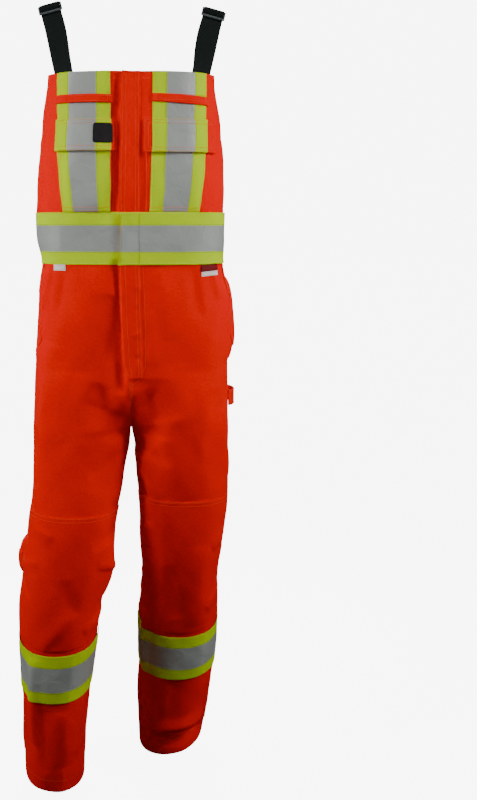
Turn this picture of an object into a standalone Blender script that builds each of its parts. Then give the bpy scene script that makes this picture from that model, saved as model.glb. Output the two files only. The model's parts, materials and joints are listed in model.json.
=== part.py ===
"""High-visibility bib overalls, filled out as worn. Metres, +Z up.

The front faces -Y and the wearer's right is towards -X. The origin is midway between the two
shoulders, level with the underside of the straps.
"""

import math

import bmesh
import bpy
import numpy as np
from mathutils import Vector, geometry, interpolate

# Cloth and seams
cloth = 0.0016
tapeCloth = 0.0011
seam = 0.0003
tapeWidth = 0.1016  # 4 inch tape with a 2 inch silver stripe

# Heights of the main lines
bibTop = -0.132
armholeFoot = -0.388
waistSeam = -0.450
waistTapeTop = -0.3985
forkTop = -0.715
crotch = -0.845
legTapeTop = -1.2745
hemHeight = {"right": -1.603, "left": -1.587}

sideSign = {"right": -1.0, "left": 1.0}

# Depth of the body in front of and behind the middle line, and how square its sections are
depthTable = (
    # height, front, back, squareness
    (-0.080, 0.108, 0.090, 2.70),
    (-0.132, 0.115, 0.095, 2.70),
    (-0.200, 0.122, 0.104, 2.65),
    (-0.300, 0.127, 0.111, 2.60),
    (-0.400, 0.125, 0.106, 2.60),
    (-0.500, 0.121, 0.104, 2.60),
    (-0.560, 0.121, 0.116, 2.55),
    (-0.650, 0.120, 0.133, 2.50),
    (-0.720, 0.118, 0.139, 2.45),
    (-0.800, 0.115, 0.132, 2.35),
    (-0.860, 0.113, 0.122, 2.30),
    (-0.950, 0.112, 0.112, 2.25),
    (-1.050, 0.114, 0.107, 2.20),
    (-1.150, 0.114, 0.110, 2.20),
    (-1.300, 0.114, 0.114, 2.20),
    (-1.450, 0.116, 0.116, 2.20),
    (-1.640, 0.118, 0.118, 2.20),
)

# Outer edge of each half of the body, and below the crotch each leg's inner edge and its middle
# line: one leg stands forward and the other back
outlineTable = {
    "right": (
        # height, outer, inner, middle
        (-0.080, 0.168, 0.0, 0.0),
        (-0.132, 0.172, 0.0, 0.0),
        (-0.200, 0.180, 0.0, 0.0),
        (-0.280, 0.186, 0.0, 0.0),
        (-0.360, 0.192, 0.0, 0.0),
        (-0.400, 0.195, 0.0, 0.0),
        (-0.450, 0.192, 0.0, 0.0),
        (-0.495, 0.184, 0.0, 0.0),
        (-0.530, 0.188, 0.0, 0.0),
        (-0.580, 0.194, 0.0, 0.0),
        (-0.640, 0.199, 0.0, 0.0),
        (-0.720, 0.203, 0.0, 0.0),
        (-0.790, 0.205, 0.0, 0.0),
        (-0.845, 0.207, 0.0006, 0.000),
        (-0.880, 0.206, 0.004, -0.003),
        (-0.930, 0.207, 0.013, -0.010),
        (-0.980, 0.211, 0.021, -0.018),
        (-1.030, 0.217, 0.030, -0.026),
        (-1.085, 0.223, 0.036, -0.034),
        (-1.140, 0.230, 0.045, -0.042),
        (-1.190, 0.235, 0.060, -0.048),
        (-1.244, 0.237, 0.069, -0.053),
        (-1.300, 0.237, 0.075, -0.057),
        (-1.350, 0.235, 0.081, -0.060),
        (-1.400, 0.232, 0.088, -0.062),
        (-1.460, 0.231, 0.093, -0.063),
        (-1.520, 0.231, 0.099, -0.064),
        (-1.580, 0.231, 0.102, -0.065),
        (-1.640, 0.231, 0.104, -0.065),
    ),
    "left": (
        (-0.080, 0.168, 0.0, 0.0),
        (-0.132, 0.173, 0.0, 0.0),
        (-0.200, 0.180, 0.0, 0.0),
        (-0.280, 0.186, 0.0, 0.0),
        (-0.360, 0.190, 0.0, 0.0),
        (-0.400, 0.190, 0.0, 0.0),
        (-0.450, 0.189, 0.0, 0.0),
        (-0.495, 0.187, 0.0, 0.0),
        (-0.530, 0.194, 0.0, 0.0),
        (-0.580, 0.201, 0.0, 0.0),
        (-0.640, 0.203, 0.0, 0.0),
        (-0.720, 0.204, 0.0, 0.0),
        (-0.790, 0.206, 0.0, 0.0),
        (-0.845, 0.207, 0.0006, 0.000),
        (-0.880, 0.207, 0.008, 0.001),
        (-0.930, 0.208, 0.011, 0.003),
        (-0.980, 0.208, 0.016, 0.006),
        (-1.040, 0.205, 0.021, 0.010),
        (-1.100, 0.198, 0.022, 0.015),
        (-1.155, 0.191, 0.027, 0.022),
        (-1.210, 0.190, 0.025, 0.029),
        (-1.270, 0.191, 0.018, 0.035),
        (-1.330, 0.190, 0.018, 0.041),
        (-1.390, 0.185, 0.018, 0.046),
        (-1.450, 0.178, 0.016, 0.050),
        (-1.510, 0.172, 0.018, 0.054),
        (-1.570, 0.166, 0.019, 0.057),
        (-1.640, 0.162, 0.021, 0.059),
    ),
}

# Rows sewn level that hang out of level on the body: tilt lowers the front and raises the back,
# lift raises the outer side
levelTable = {
    "right": (
        # height, tilt, lift
        (-0.900, 0.000, 0.000),
        (-1.050, 0.004, 0.000),
        (-1.250, 0.019, -0.004),
        (-1.380, 0.019, -0.002),
        (-1.500, 0.006, 0.016),
        (-1.640, -0.002, 0.030),
    ),
    "left": (
        (-0.900, 0.000, 0.000),
        (-1.050, 0.004, 0.000),
        (-1.250, 0.019, 0.002),
        (-1.380, 0.019, 0.008),
        (-1.500, 0.006, 0.028),
        (-1.640, 0.000, 0.042),
    ),
}


def readTable(table, column, heights):
    """A smooth curve through one column of a table, read at some heights."""
    rows = sorted(table)
    at = np.array([row[0] for row in rows])
    value = np.array([row[column] for row in rows])
    slope = np.gradient(value, at)
    heights = np.clip(heights, at[0], at[-1])
    k = np.clip(np.searchsorted(at, heights) - 1, 0, len(at) - 2)
    step = at[k + 1] - at[k]
    t = (heights - at[k]) / step
    return (
        (1 + 2 * t) * (1 - t) ** 2 * value[k]
        + t * (1 - t) ** 2 * step * slope[k]
        + t * t * (3 - 2 * t) * value[k + 1]
        + t * t * (t - 1) * step * slope[k + 1]
    )


sectionSteps = 48  # steps that measure the length of half a section


def sectionPoint(side, around, height):
    """Points of one half of the body: around is 0 at the front middle, 0.5 at the side, 1 at the back."""
    outline = outlineTable[side]
    outer = readTable(outline, 1, height)
    fork = np.clip((forkTop - height) / (forkTop - crotch), 0.0, 1.0)
    joined = -outer * (1 - fork) / (1 + fork)
    inner = np.where(height > crotch, joined, np.maximum(readTable(outline, 2, height), 0.0006))
    middle = np.where(height > crotch, 0.0, readTable(outline, 3, height))
    squareness = readTable(depthTable, 3, height)
    centre = (outer + inner) / 2
    half = (outer - inner) / 2
    end = np.arccos(-np.clip(centre / half, 0.0, 1.0) ** (squareness / 2))
    back = around > 0.5
    depth = np.where(back, readTable(depthTable, 2, height), readTable(depthTable, 1, height))

    def place(angle, power):
        cosine, sine = np.cos(angle), np.sin(angle)
        x = np.sign(cosine) * np.abs(cosine) ** power
        y = np.sign(sine) * np.abs(sine) ** power
        return x, y

    power = 2 / squareness
    steps = np.linspace(0.0, 1.0, sectionSteps + 1)
    angles = np.where(back[:, None], steps, steps - 1.0) * end[:, None]
    x, y = place(angles, power[:, None])
    x, y = x * half[:, None], y * depth[:, None]
    length = np.cumsum(np.hypot(np.diff(x, axis=1), np.diff(y, axis=1)), axis=1)
    length = np.concatenate([np.zeros((len(length), 1)), length], axis=1) / length[:, -1:]
    share = np.where(back, 2 * around - 1, 2 * around)
    k = np.clip((length < share[:, None]).sum(axis=1) - 1, 0, sectionSteps - 1)
    row = np.arange(len(k))
    t = (share - length[row, k]) / (length[row, k + 1] - length[row, k])
    angle = angles[row, k] + t * (angles[row, k + 1] - angles[row, k])
    x, y = place(angle, power)
    return np.maximum(centre + x * half, fork * 0.0003), middle + y * depth


def bodyPoint(side, around, row):
    """The smooth body without creases. row is the height at which a level row is sewn."""
    tilt = readTable(levelTable[side], 1, row)
    lift = readTable(levelTable[side], 2, row)
    x, y = sectionPoint(side, around, row)
    z = row - tilt * np.sin(2 * math.pi * around) + lift * (1 - np.cos(2 * math.pi * around)) / 2
    return np.stack([sideSign[side] * x, y, z], axis=1)


# --- solids ---

# Largest folds, as ridges and troughs on the smooth body. share runs across each sheet from its
# middle (0) to the side seam (0.5), negative on the wearer's right.
foldTable = {
    "front": (
        # share, row, to share, to row, width, height
        (0.460, -0.530, 0.470, -0.700, 0.030, 0.013),
        (-0.455, -0.560, -0.455, -0.680, 0.026, -0.005),
        (0.004, -0.745, 0.080, -0.850, 0.013, 0.005),
        (0.030, -0.760, 0.160, -0.870, 0.022, -0.009),
        (-0.030, -0.820, -0.150, -0.750, 0.018, -0.005),
        (-0.317, -0.660, -0.405, -0.950, 0.030, 0.007),
        (-0.120, -0.740, -0.200, -0.960, 0.034, -0.006),
        (0.165, -0.700, 0.245, -0.985, 0.030, 0.006),
        (0.330, -0.760, 0.370, -0.960, 0.030, -0.005),
        (-0.480, -1.075, -0.480, -1.145, 0.022, 0.013),
        (-0.100, -1.070, -0.040, -1.190, 0.026, 0.008),
        (-0.325, -1.285, -0.325, -1.500, 0.013, 0.007),
        (0.105, -1.235, 0.112, -1.380, 0.013, 0.006),
        (0.150, -1.548, 0.400, -1.555, 0.014, -0.013),
        (0.175, -1.522, 0.380, -1.514, 0.014, 0.007),
        (-0.225, -1.400, -0.195, -1.540, 0.022, 0.006),
        (0.300, -1.080, 0.310, -1.250, 0.028, 0.005),
    ),
    "back": (
        (0.330, -0.752, 0.060, -0.772, 0.015, 0.013),
        (0.360, -0.775, 0.140, -0.800, 0.014, -0.012),
        (0.190, -0.780, 0.160, -0.835, 0.014, 0.009),
        (0.030, -0.835, 0.190, -0.868, 0.018, -0.009),
        (0.028, -0.580, 0.045, -0.735, 0.014, -0.012),
        (-0.040, -0.745, -0.160, -0.860, 0.022, -0.009),
        (0.300, -1.074, 0.200, -1.062, 0.013, 0.010),
        (0.265, -1.044, 0.200, -1.034, 0.013, -0.009),
        (0.265, -1.103, 0.150, -1.120, 0.013, 0.010),
        (0.290, -1.090, 0.210, -1.087, 0.012, -0.010),
        (0.265, -1.130, 0.160, -1.245, 0.016, 0.010),
        (0.230, -1.170, 0.120, -1.262, 0.016, -0.009),
        (0.345, -1.225, 0.170, -1.258, 0.015, 0.008),
        (-0.170, -1.083, -0.330, -1.158, 0.017, 0.015),
        (-0.150, -1.125, -0.290, -1.190, 0.018, -0.013),
        (-0.215, -1.225, -0.340, -1.172, 0.016, 0.009),
        (0.281, -1.410, 0.279, -1.550, 0.022, 0.006),
        (-0.210, -1.430, -0.208, -1.580, 0.022, 0.006),
        (0.320, -0.600, 0.335, -0.730, 0.022, 0.006),
        (-0.190, -0.590, -0.200, -0.760, 0.030, 0.007),
    ),
}
foldSteps = 6


def aroundOf(half, share):
    """Where a share of a sheet lies round the body."""
    return np.abs(share) if half == "front" else 1 - np.abs(share)


def foldLines(table):
    """Each fold as a line of points on the smooth body, with its side, width and height."""
    lines = []
    for half, rows in table.items():
        for share, row, toShare, toRow, width, height in rows:
            side = "left" if share + toShare > 0 else "right"
            shares = np.linspace(share, toShare, foldSteps)
            shares = np.clip(shares * sideSign[side], 0, None)
            points = bodyPoint(side, aroundOf(half, shares), np.linspace(row, toRow, foldSteps))
            lines.append((side, points, width, height))
    return lines


bodyFolds = foldLines(foldTable)


def foldHeight(side, points):
    """How far the folds move these points out of the smooth body."""
    total = np.zeros(len(points))
    sameLeg = points[:, 2] < forkTop
    for foldSide, line, width, height in bodyFolds:
        best = np.full(len(points), np.inf)
        along = np.zeros(len(points))
        for k in range(len(line) - 1):
            run = line[k + 1] - line[k]
            t = np.clip((points - line[k]) @ run / (run @ run), 0.0, 1.0)
            gap = np.linalg.norm(points - line[k] - t[:, None] * run, axis=1)
            nearer = gap < best
            best = np.where(nearer, gap, best)
            along = np.where(nearer, (k + t) / (len(line) - 1), along)
        taper = np.clip(4 * along * (1 - along), 0.0, 1.0) ** 0.5
        rise = height * taper * np.exp(-((best / width) ** 2))
        total += np.where(sameLeg & (side != foldSide), 0.0, rise)
    return total


def smoothFacing(side, around, row):
    """Outward directions of the smooth body."""
    stepAround, stepRow = 0.004, 0.004
    low, high = np.clip(around - stepAround, 0, 1), np.clip(around + stepAround, 0, 1)
    across = bodyPoint(side, high, row) - bodyPoint(side, low, row)
    down = bodyPoint(side, around, row - stepRow) - bodyPoint(side, around, row + stepRow)
    facing = np.cross(across, down) * -sideSign[side]
    return facing / np.linalg.norm(facing, axis=1, keepdims=True)


def foldedPoint(side, around, row):
    point = bodyPoint(side, around, row)
    moved = point + smoothFacing(side, around, row) * foldHeight(side, point)[:, None]
    atSeam = (around < 1e-6) | (around > 1 - 1e-6)
    moved[:, 0] = np.where(atSeam, point[:, 0], moved[:, 0])
    return moved


def foldedFacing(side, around, row):
    stepAround, stepRow = 0.012, 0.008
    low, high = np.clip(around - stepAround, 0, 1), np.clip(around + stepAround, 0, 1)
    across = foldedPoint(side, high, row) - foldedPoint(side, low, row)
    down = foldedPoint(side, around, row - stepRow) - foldedPoint(side, around, row + stepRow)
    facing = np.cross(across, down) * -sideSign[side]
    facing /= np.linalg.norm(facing, axis=1, keepdims=True)
    # A wall's edge at a middle seam may lean away from the other half but not towards it
    atSeam = (around < 1e-6) | (around > 1 - 1e-6)
    leaning = np.minimum(facing[:, 0] * sideSign[side], 0.0) * sideSign[side]
    facing[:, 0] = np.where(atSeam, leaning, facing[:, 0])
    return facing / np.linalg.norm(facing, axis=1, keepdims=True)


def halfLength(side, half, row):
    """Length of cloth from the middle of a sheet to its side seam at one row."""
    shares = np.linspace(0.0, 0.5, 41)
    points = bodyPoint(side, aroundOf(half, shares), np.full(41, row))
    return float(np.linalg.norm(np.diff(points, axis=0), axis=1).sum())


def shareAt(half, across, row):
    """The share of a sheet at a length of cloth from its middle, negative on the right."""
    side = "left" if across > 0 else "right"
    return 0.5 * across / halfLength(side, half, row)


# Shares that leave half of a seam's gap
seamShare = 0.0004

# Where the sheets end short of the side seam
armholeTable = {
    "right": (
        # row, share of the front sheet, share of the back sheet
        (-0.110, 0.392, 0.412),
        (-0.132, 0.388, 0.408),
        (-0.155, 0.389, 0.390),
        (-0.180, 0.402, 0.373),
        (-0.240, 0.414, 0.361),
        (-0.300, 0.428, 0.350),
        (-0.350, 0.452, 0.362),
        (-0.375, 0.472, 0.395),
        (-0.388, 0.4996, 0.4996),
    ),
    "left": (
        (-0.110, 0.405, 0.430),
        (-0.132, 0.400, 0.422),
        (-0.155, 0.388, 0.408),
        (-0.180, 0.392, 0.394),
        (-0.240, 0.430, 0.366),
        (-0.300, 0.450, 0.358),
        (-0.350, 0.470, 0.372),
        (-0.375, 0.482, 0.400),
        (-0.388, 0.4996, 0.4996),
    ),
}
zipTop, zipFoot = -1.105, -1.560
zipFullTop, zipFullFoot = -1.132, -1.543  # between these rows the slit has its full width
zipShare = {"right": 0.060, "left": 0.074}


def slitShare(side, row):
    """Width of the leg zip's slit at a row, as a share of the back sheet."""
    width = zipShare[side]
    return float(np.interp(row, (zipFoot, zipFullFoot, zipFullTop, zipTop), (0, width, width, 0)))


def sheetEdge(side, half, row):
    """Share at which a sheet ends: at the armhole, at the zip slit or just short of the side seam."""
    if row > armholeFoot:
        column = 1 if half == "front" else 2
        return float(readTable(armholeTable[side], column, np.array([row]))[0])
    edge = 0.5 - seamShare
    return edge - slitShare(side, row) if half == "back" else edge


sheetRows = (
    [bibTop, -0.165, -0.200, -0.235, -0.270, -0.305, -0.340, -0.368]
    + [armholeFoot, waistTapeTop, waistSeam, -0.500, -0.525]
    + [-0.560, -0.600, -0.640, -0.680, -0.712, -0.740, -0.764, -0.788]
    + [-0.812, -0.830, crotch, -0.868, -0.905, -0.950, -0.990, -1.022, -1.048]
    + [-1.075, zipTop, -1.132, -1.160, -1.190, -1.220, -1.248, legTapeTop]
    + [-1.308, -1.342, legTapeTop - tapeWidth, -1.410, -1.450, -1.490, -1.520, -1.543]
    + [zipFoot]
)
sheetColumns = 8


def flatSheet(side, half, rows, shares):
    """A flat pattern of part of the body. Each point keeps its place and its facing on the body."""
    sheet = bmesh.new()
    place = sheet.verts.layers.float_vector.new("place")
    facing = sheet.verts.layers.float_vector.new("facing")
    wide = shares.shape[1]
    heights = np.repeat(rows, wide)
    around = aroundOf(half, shares.ravel()) if half == "front" else 1 - shares.ravel()
    points = foldedPoint(side, around, heights)
    normals = foldedFacing(side, around, heights)
    verts = []
    for share, row, point, normal in zip(shares.ravel(), heights, points, normals):
        vert = sheet.verts.new((sideSign[side] * share, row, 0.0))
        vert[place] = Vector(point)
        vert[facing] = Vector(normal)
        verts.append(vert)
    # Seen from outside, share grows to the right on the left front and on the right back
    turned = (half == "front") != (side == "left")
    for j in range(len(rows) - 1):
        for i in range(wide - 1):
            a, b = verts[j * wide + i], verts[j * wide + i + 1]
            d, c = verts[(j + 1) * wide + i], verts[(j + 1) * wide + i + 1]
            for corners in ((a, d, c), (a, c, b)):
                sheet.faces.new(reversed(corners) if turned else corners)
    return sheet


def clothSheet(side, half, rows=sheetRows, columns=sheetColumns):
    """The flat pattern of a quarter of the body."""
    rows = [row for row in rows if row > hemHeight[side]] + [hemHeight[side]]
    edges = np.array([sheetEdge(side, half, row) for row in rows])
    return flatSheet(side, half, rows, np.outer(edges, np.linspace(0.0, 1.0, columns + 1)))


def stripSheet(side, rows, fromShares, toShares, columns):
    """A back sheet's strip between two edges, from the greater share to the smaller."""
    return flatSheet(side, "back", rows, np.linspace(toShares, fromShares, columns + 1, axis=1))


def cutConvex(sheet, outline):
    """A copy of a sheet inside an outline whose corners run anticlockwise in share and row."""
    piece = sheet.copy()
    for k, (x, y) in enumerate(outline):
        toX, toY = outline[(k + 1) % len(outline)]
        everything = piece.verts[:] + piece.edges[:] + piece.faces[:]
        outward = Vector((toY - y, x - toX, 0.0)).normalized()
        bmesh.ops.bisect_plane(
            piece, geom=everything, dist=1e-7, plane_co=(x, y, 0.0), plane_no=outward, clear_outer=True
        )
    return piece


def anticlockwise(outline):
    area = sum(
        x * outline[(k + 1) % len(outline)][1] - outline[(k + 1) % len(outline)][0] * y
        for k, (x, y) in enumerate(outline)
    )
    return list(outline) if area > 0 else list(reversed(outline))


def joinSheets(pieces):
    """One sheet of several, with the points that meet made one."""
    whole = bmesh.new()
    place = whole.verts.layers.float_vector.new("place")
    facing = whole.verts.layers.float_vector.new("facing")
    for piece in pieces:
        fromPlace = piece.verts.layers.float_vector["place"]
        fromFacing = piece.verts.layers.float_vector["facing"]
        copies = {}
        for vert in piece.verts:
            copy = whole.verts.new(vert.co)
            copy[place] = vert[fromPlace]
            copy[facing] = vert[fromFacing]
            copies[vert] = copy
        for face in piece.faces:
            whole.faces.new([copies[vert] for vert in face.verts])
    bmesh.ops.remove_doubles(whole, verts=whole.verts, dist=3e-5)
    bmesh.ops.dissolve_degenerate(whole, edges=whole.edges, dist=1e-5)
    bmesh.ops.triangulate(whole, faces=whole.faces)
    return whole


frontSheets = {side: clothSheet(side, "front") for side in sideSign}
backSheets = {side: clothSheet(side, "back") for side in sideSign}
sheetsOf = {"front": frontSheets, "back": backSheets}


def cutPieces(half, outlines, sides=("right", "left")):
    """The part of a sheet inside some convex outlines."""
    pieces = [
        cutConvex(sheetsOf[half][side], anticlockwise(outline))
        for side in sides
        for outline in outlines
    ]
    return joinSheets([piece for piece in pieces if piece.faces])


def band(half, upper, lower, sides=("right", "left")):
    """A strip between two edges, each a list of (across, row) in metres of cloth."""
    upper = [(shareAt(half, across, row), row) for across, row in upper]
    lower = [(shareAt(half, across, row), row) for across, row in lower]
    outlines = [
        (upper[k], upper[k + 1], lower[k + 1], lower[k]) for k in range(len(upper) - 1)
    ]
    return cutPieces(half, outlines, sides)


def patch(half, corners, sides=("right", "left")):
    """A convex piece with corners at (across, row) in metres of cloth."""
    return cutPieces(half, [[(shareAt(half, across, row), row) for across, row in corners]], sides)


materials = {}


def paint(name):
    """A plain finish for each kind of cloth or plastic."""
    colours = {
        # colour, roughness
        "orangeCloth": ((0.93, 0.05, 0.01), 0.85),
        "tape": ((0.62, 0.90, 0.05), 0.60),
        "webbing": ((0.01, 0.015, 0.013), 0.80),
        "plastic": ((0.03, 0.03, 0.03), 0.45),
        "whiteTag": ((0.80, 0.79, 0.76), 0.70),
        "redTag": ((0.25, 0.01, 0.02), 0.70),
        "greyPatch": ((0.06, 0.05, 0.05), 0.60),
    }
    if name not in materials:
        colour, roughness = colours[name]
        material = bpy.data.materials.new(name)
        material.use_nodes = True
        shader = material.node_tree.nodes["Principled BSDF"]
        shader.inputs["Base Color"].default_value = (*colour, 1.0)
        shader.inputs["Roughness"].default_value = roughness
        shader.inputs["Metallic"].default_value = 0.0
        materials[name] = material
    return materials[name]


def addObject(name, mesh, finish):
    solid = bpy.data.objects.new(name, mesh)
    solid.data.materials.append(paint(finish))
    overalls.objects.link(solid)
    return solid


def clothWall(name, sheet, low, high, finish="orangeCloth"):
    """A closed wall between two distances above the body, on a sheet's own points."""
    place = sheet.verts.layers.float_vector["place"]
    facing = sheet.verts.layers.float_vector["facing"]
    wall = bmesh.new()
    outer, inner = {}, {}
    for vert in sheet.verts:
        outer[vert] = wall.verts.new(vert[place] + vert[facing] * high)
        inner[vert] = wall.verts.new(vert[place] + vert[facing] * low)
    for face in sheet.faces:
        corners = list(face.verts)
        wall.faces.new([outer[vert] for vert in corners])
        wall.faces.new([inner[vert] for vert in reversed(corners)])
    for edge in sheet.edges:
        if len(edge.link_faces) == 1:
            a, b = edge.link_loops[0].vert, edge.link_loops[0].link_loop_next.vert
            wall.faces.new((outer[b], outer[a], inner[a]))
            wall.faces.new((outer[b], inner[a], inner[b]))
    mesh = bpy.data.meshes.new(name)
    wall.to_mesh(mesh)
    wall.free()
    return addObject(name, mesh, finish)


def startScene():
    for thing in list(bpy.data.objects):
        bpy.data.objects.remove(thing, do_unlink=True)
    collection = bpy.data.collections.new("hi_vis_bib_overalls")
    bpy.context.scene.collection.children.link(collection)
    return collection


overalls = startScene()
farDown = -1.7
farUp = -0.05


def addBodyPanels():
    """Bib and trouser panels, parted at the middle seams and at the waist seam."""
    gap = seam / 2
    for side, sign in sideSign.items():
        outer = sign * 0.6
        inner = sign * seamShare
        above = [(inner, farUp), (outer, farUp), (outer, waistSeam + gap), (inner, waistSeam + gap)]
        below = [(inner, waistSeam - gap), (outer, waistSeam - gap), (outer, farDown), (inner, farDown)]
        clothWall(f"bib_front_{side}", cutPieces("front", [above], [side]), -cloth, 0.0)
        for half in ("front", "back"):
            clothWall(f"leg_{half}_{side}", cutPieces(half, [below], [side]), -cloth, 0.0)
    back = [(-0.6, farUp), (0.6, farUp), (0.6, waistSeam + gap), (-0.6, waistSeam + gap)]
    clothWall("bib_back", cutPieces("back", [back]), -cloth, 0.0)


# Distances above the body at which each layer starts
onBody = seam
onTape = onBody + tapeCloth + seam
onCloth = onBody + cloth + seam
onPocketTape = onCloth + tapeCloth + seam
onFlap = onPocketTape + cloth + seam
onFlapTape = onFlap + tapeCloth + seam

# Rows and lengths of cloth across the front, from the middle
flapTop, flapFoot = -0.2215, -0.2810
pocketRow = -0.2245
chestTape = {
    # inner edge and outer edge of the tape, and the flap's own edges: across at the row given
    "right": {
        "neck": (bibTop, 0.0400, 0.1492),
        "flapTop": (-0.2215, 0.0400, 0.1487),
        "flapFoot": (-0.2810, 0.0410, 0.1500),
        "pocketFoot": (-0.3975, 0.0412, 0.1352),
        "flapEdges": (0.0286, 0.1532),
        "loop": ((-0.1755, 0.0375, 0.1520), (-0.1900, 0.0375, 0.1520)),
    },
    "left": {
        "neck": (bibTop, 0.0418, 0.1545),
        "flapTop": (-0.2215, 0.0411, 0.1504),
        "flapFoot": (-0.2840, 0.0402, 0.1480),
        "pocketFoot": (-0.3975, 0.0363, 0.1360),
        "flapEdges": (0.0243, 0.1735),
        "loop": ((-0.1735, 0.0405, 0.1570), (-0.1885, 0.0405, 0.1570)),
    },
}


def addChest():
    """Tapes, radio loops, pockets and flaps of the chest."""
    for side, sign in sideSign.items():
        sizes = chestTape[side]

        def strip(name, top, foot):
            topRow, topIn, topOut = top
            footRow, footIn, footOut = foot
            corners = [(topIn, topRow), (topOut, topRow), (footOut, footRow), (footIn, footRow)]
            return patch("front", [(sign * across, row) for across, row in corners], [side])

        flapRow = sizes["flapFoot"][0]
        flapIn, flapOut = sizes["flapEdges"]
        neckRow, neckIn, neckOut = sizes["neck"]
        tape = strip("tape", (neckRow, neckIn, neckOut), sizes["flapTop"])
        clothWall(f"chest_tape_{side}", tape, onBody, onBody + tapeCloth, "tape")
        loop = strip("loop", *sizes["loop"])
        clothWall(f"radio_loop_{side}", loop, onTape, onTape + cloth)
        pocketIn, pocketOut = flapIn + 0.004, flapOut - 0.004
        foot = sizes["pocketFoot"]
        pocketFoot = (foot[0], foot[1] - 0.008, foot[2] + 0.008)
        pocket = strip("pocket", (pocketRow, pocketIn, pocketOut), pocketFoot)
        clothWall(f"chest_pocket_{side}", pocket, onBody, onBody + cloth)
        run = strip("run", (flapRow + 0.012, *sizes["flapFoot"][1:]), foot)
        clothWall(f"pocket_tape_{side}", run, onCloth, onCloth + tapeCloth, "tape")
        flap = strip("flap", (flapTop, flapIn, flapOut), (flapRow, flapIn, flapOut))
        clothWall(f"pocket_flap_{side}", flap, onPocketTape, onPocketTape + cloth)
        onTop = strip("onTop", (flapTop, *sizes["flapTop"][1:]), sizes["flapFoot"])
        clothWall(f"flap_tape_{side}", onTop, onFlap, onFlap + tapeCloth, "tape")
    corners = [(-0.0380, -0.2300), (-0.0720, -0.2300), (-0.0720, -0.2670), (-0.0380, -0.2670)]
    badge = patch("front", corners, ["right"])
    clothWall("flap_patch", badge, onFlapTape, onFlapTape + 0.001, "greyPatch")


# Free edge and stitched edge of the storm flap
placketTable = (
    # row, free edge, stitched edge
    (bibTop, -0.0177, 0.0168),
    (-0.2260, -0.0168, 0.0168),
    (-0.3985, -0.0204, 0.0162),
    (-0.5000, -0.0196, 0.0169),
    (-0.6100, -0.0150, 0.0200),
    (-0.7050, -0.0097, 0.0237),
    (-0.7270, -0.0052, 0.0225),
)


def addPlacket():
    upper = [(free, row) for row, free, stitched in placketTable]
    lower = [(stitched, row) for row, free, stitched in placketTable]
    clothWall("placket", band("front", upper, lower), onBody, onBody + cloth)


def addWaist():
    """The waist tape: the left front runs over the storm flap, the right front stops at its edge."""
    foot = waistTapeTop - tapeWidth
    side = 0.6
    edge = -shareAt("front", 0.0203, waistTapeTop)
    corners = [(edge - 0.001, waistTapeTop), (-side, waistTapeTop), (-side, foot), (edge - 0.001, foot)]
    tape = cutPieces("front", [corners], ["right"])
    clothWall("waist_tape_right", tape, onBody, onBody + tapeCloth, "tape")
    corners = [(edge, waistTapeTop), (side, waistTapeTop), (side, foot), (edge, foot)]
    tape = cutPieces("front", [corners])
    clothWall("waist_tape_left", tape, onCloth, onCloth + tapeCloth, "tape")
    top = waistTapeTop - 0.0065
    corners = [(-side, top), (side, top), (side, top - tapeWidth), (-side, top - tapeWidth)]
    tape = cutPieces("back", [corners])
    clothWall("waist_tape_back", tape, onBody, onBody + tapeCloth, "tape")


# Edges of the two crossed tapes, from the side where each is high
backCrossTable = (
    # across and row on the upper edge, across and row on the lower edge
    (0.2100, -0.1480, 0.2100, -0.2500),
    (0.1500, -0.1600, 0.1480, -0.2760),
    (0.1162, -0.1793, 0.1000, -0.3050),
    (0.0018, -0.2543, 0.0174, -0.3639),
    (-0.0913, -0.3172, -0.0030, -0.3781),
    (-0.1273, -0.3477, -0.0200, -0.3910),
    (-0.1577, -0.3801, -0.0388, -0.4040),
    (-0.1640, -0.4040, -0.0700, -0.4040),
)


def addBackCross():
    for name, sign, start in (("back_tape_under", -1, onBody), ("back_tape_over", 1, onTape)):
        upper = [(sign * row[0], row[1]) for row in backCrossTable]
        lower = [(sign * row[2], row[3]) for row in backCrossTable]
        tape = band("back", upper, lower)
        clothWall(name, tape, start, start + tapeCloth, "tape")


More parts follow.
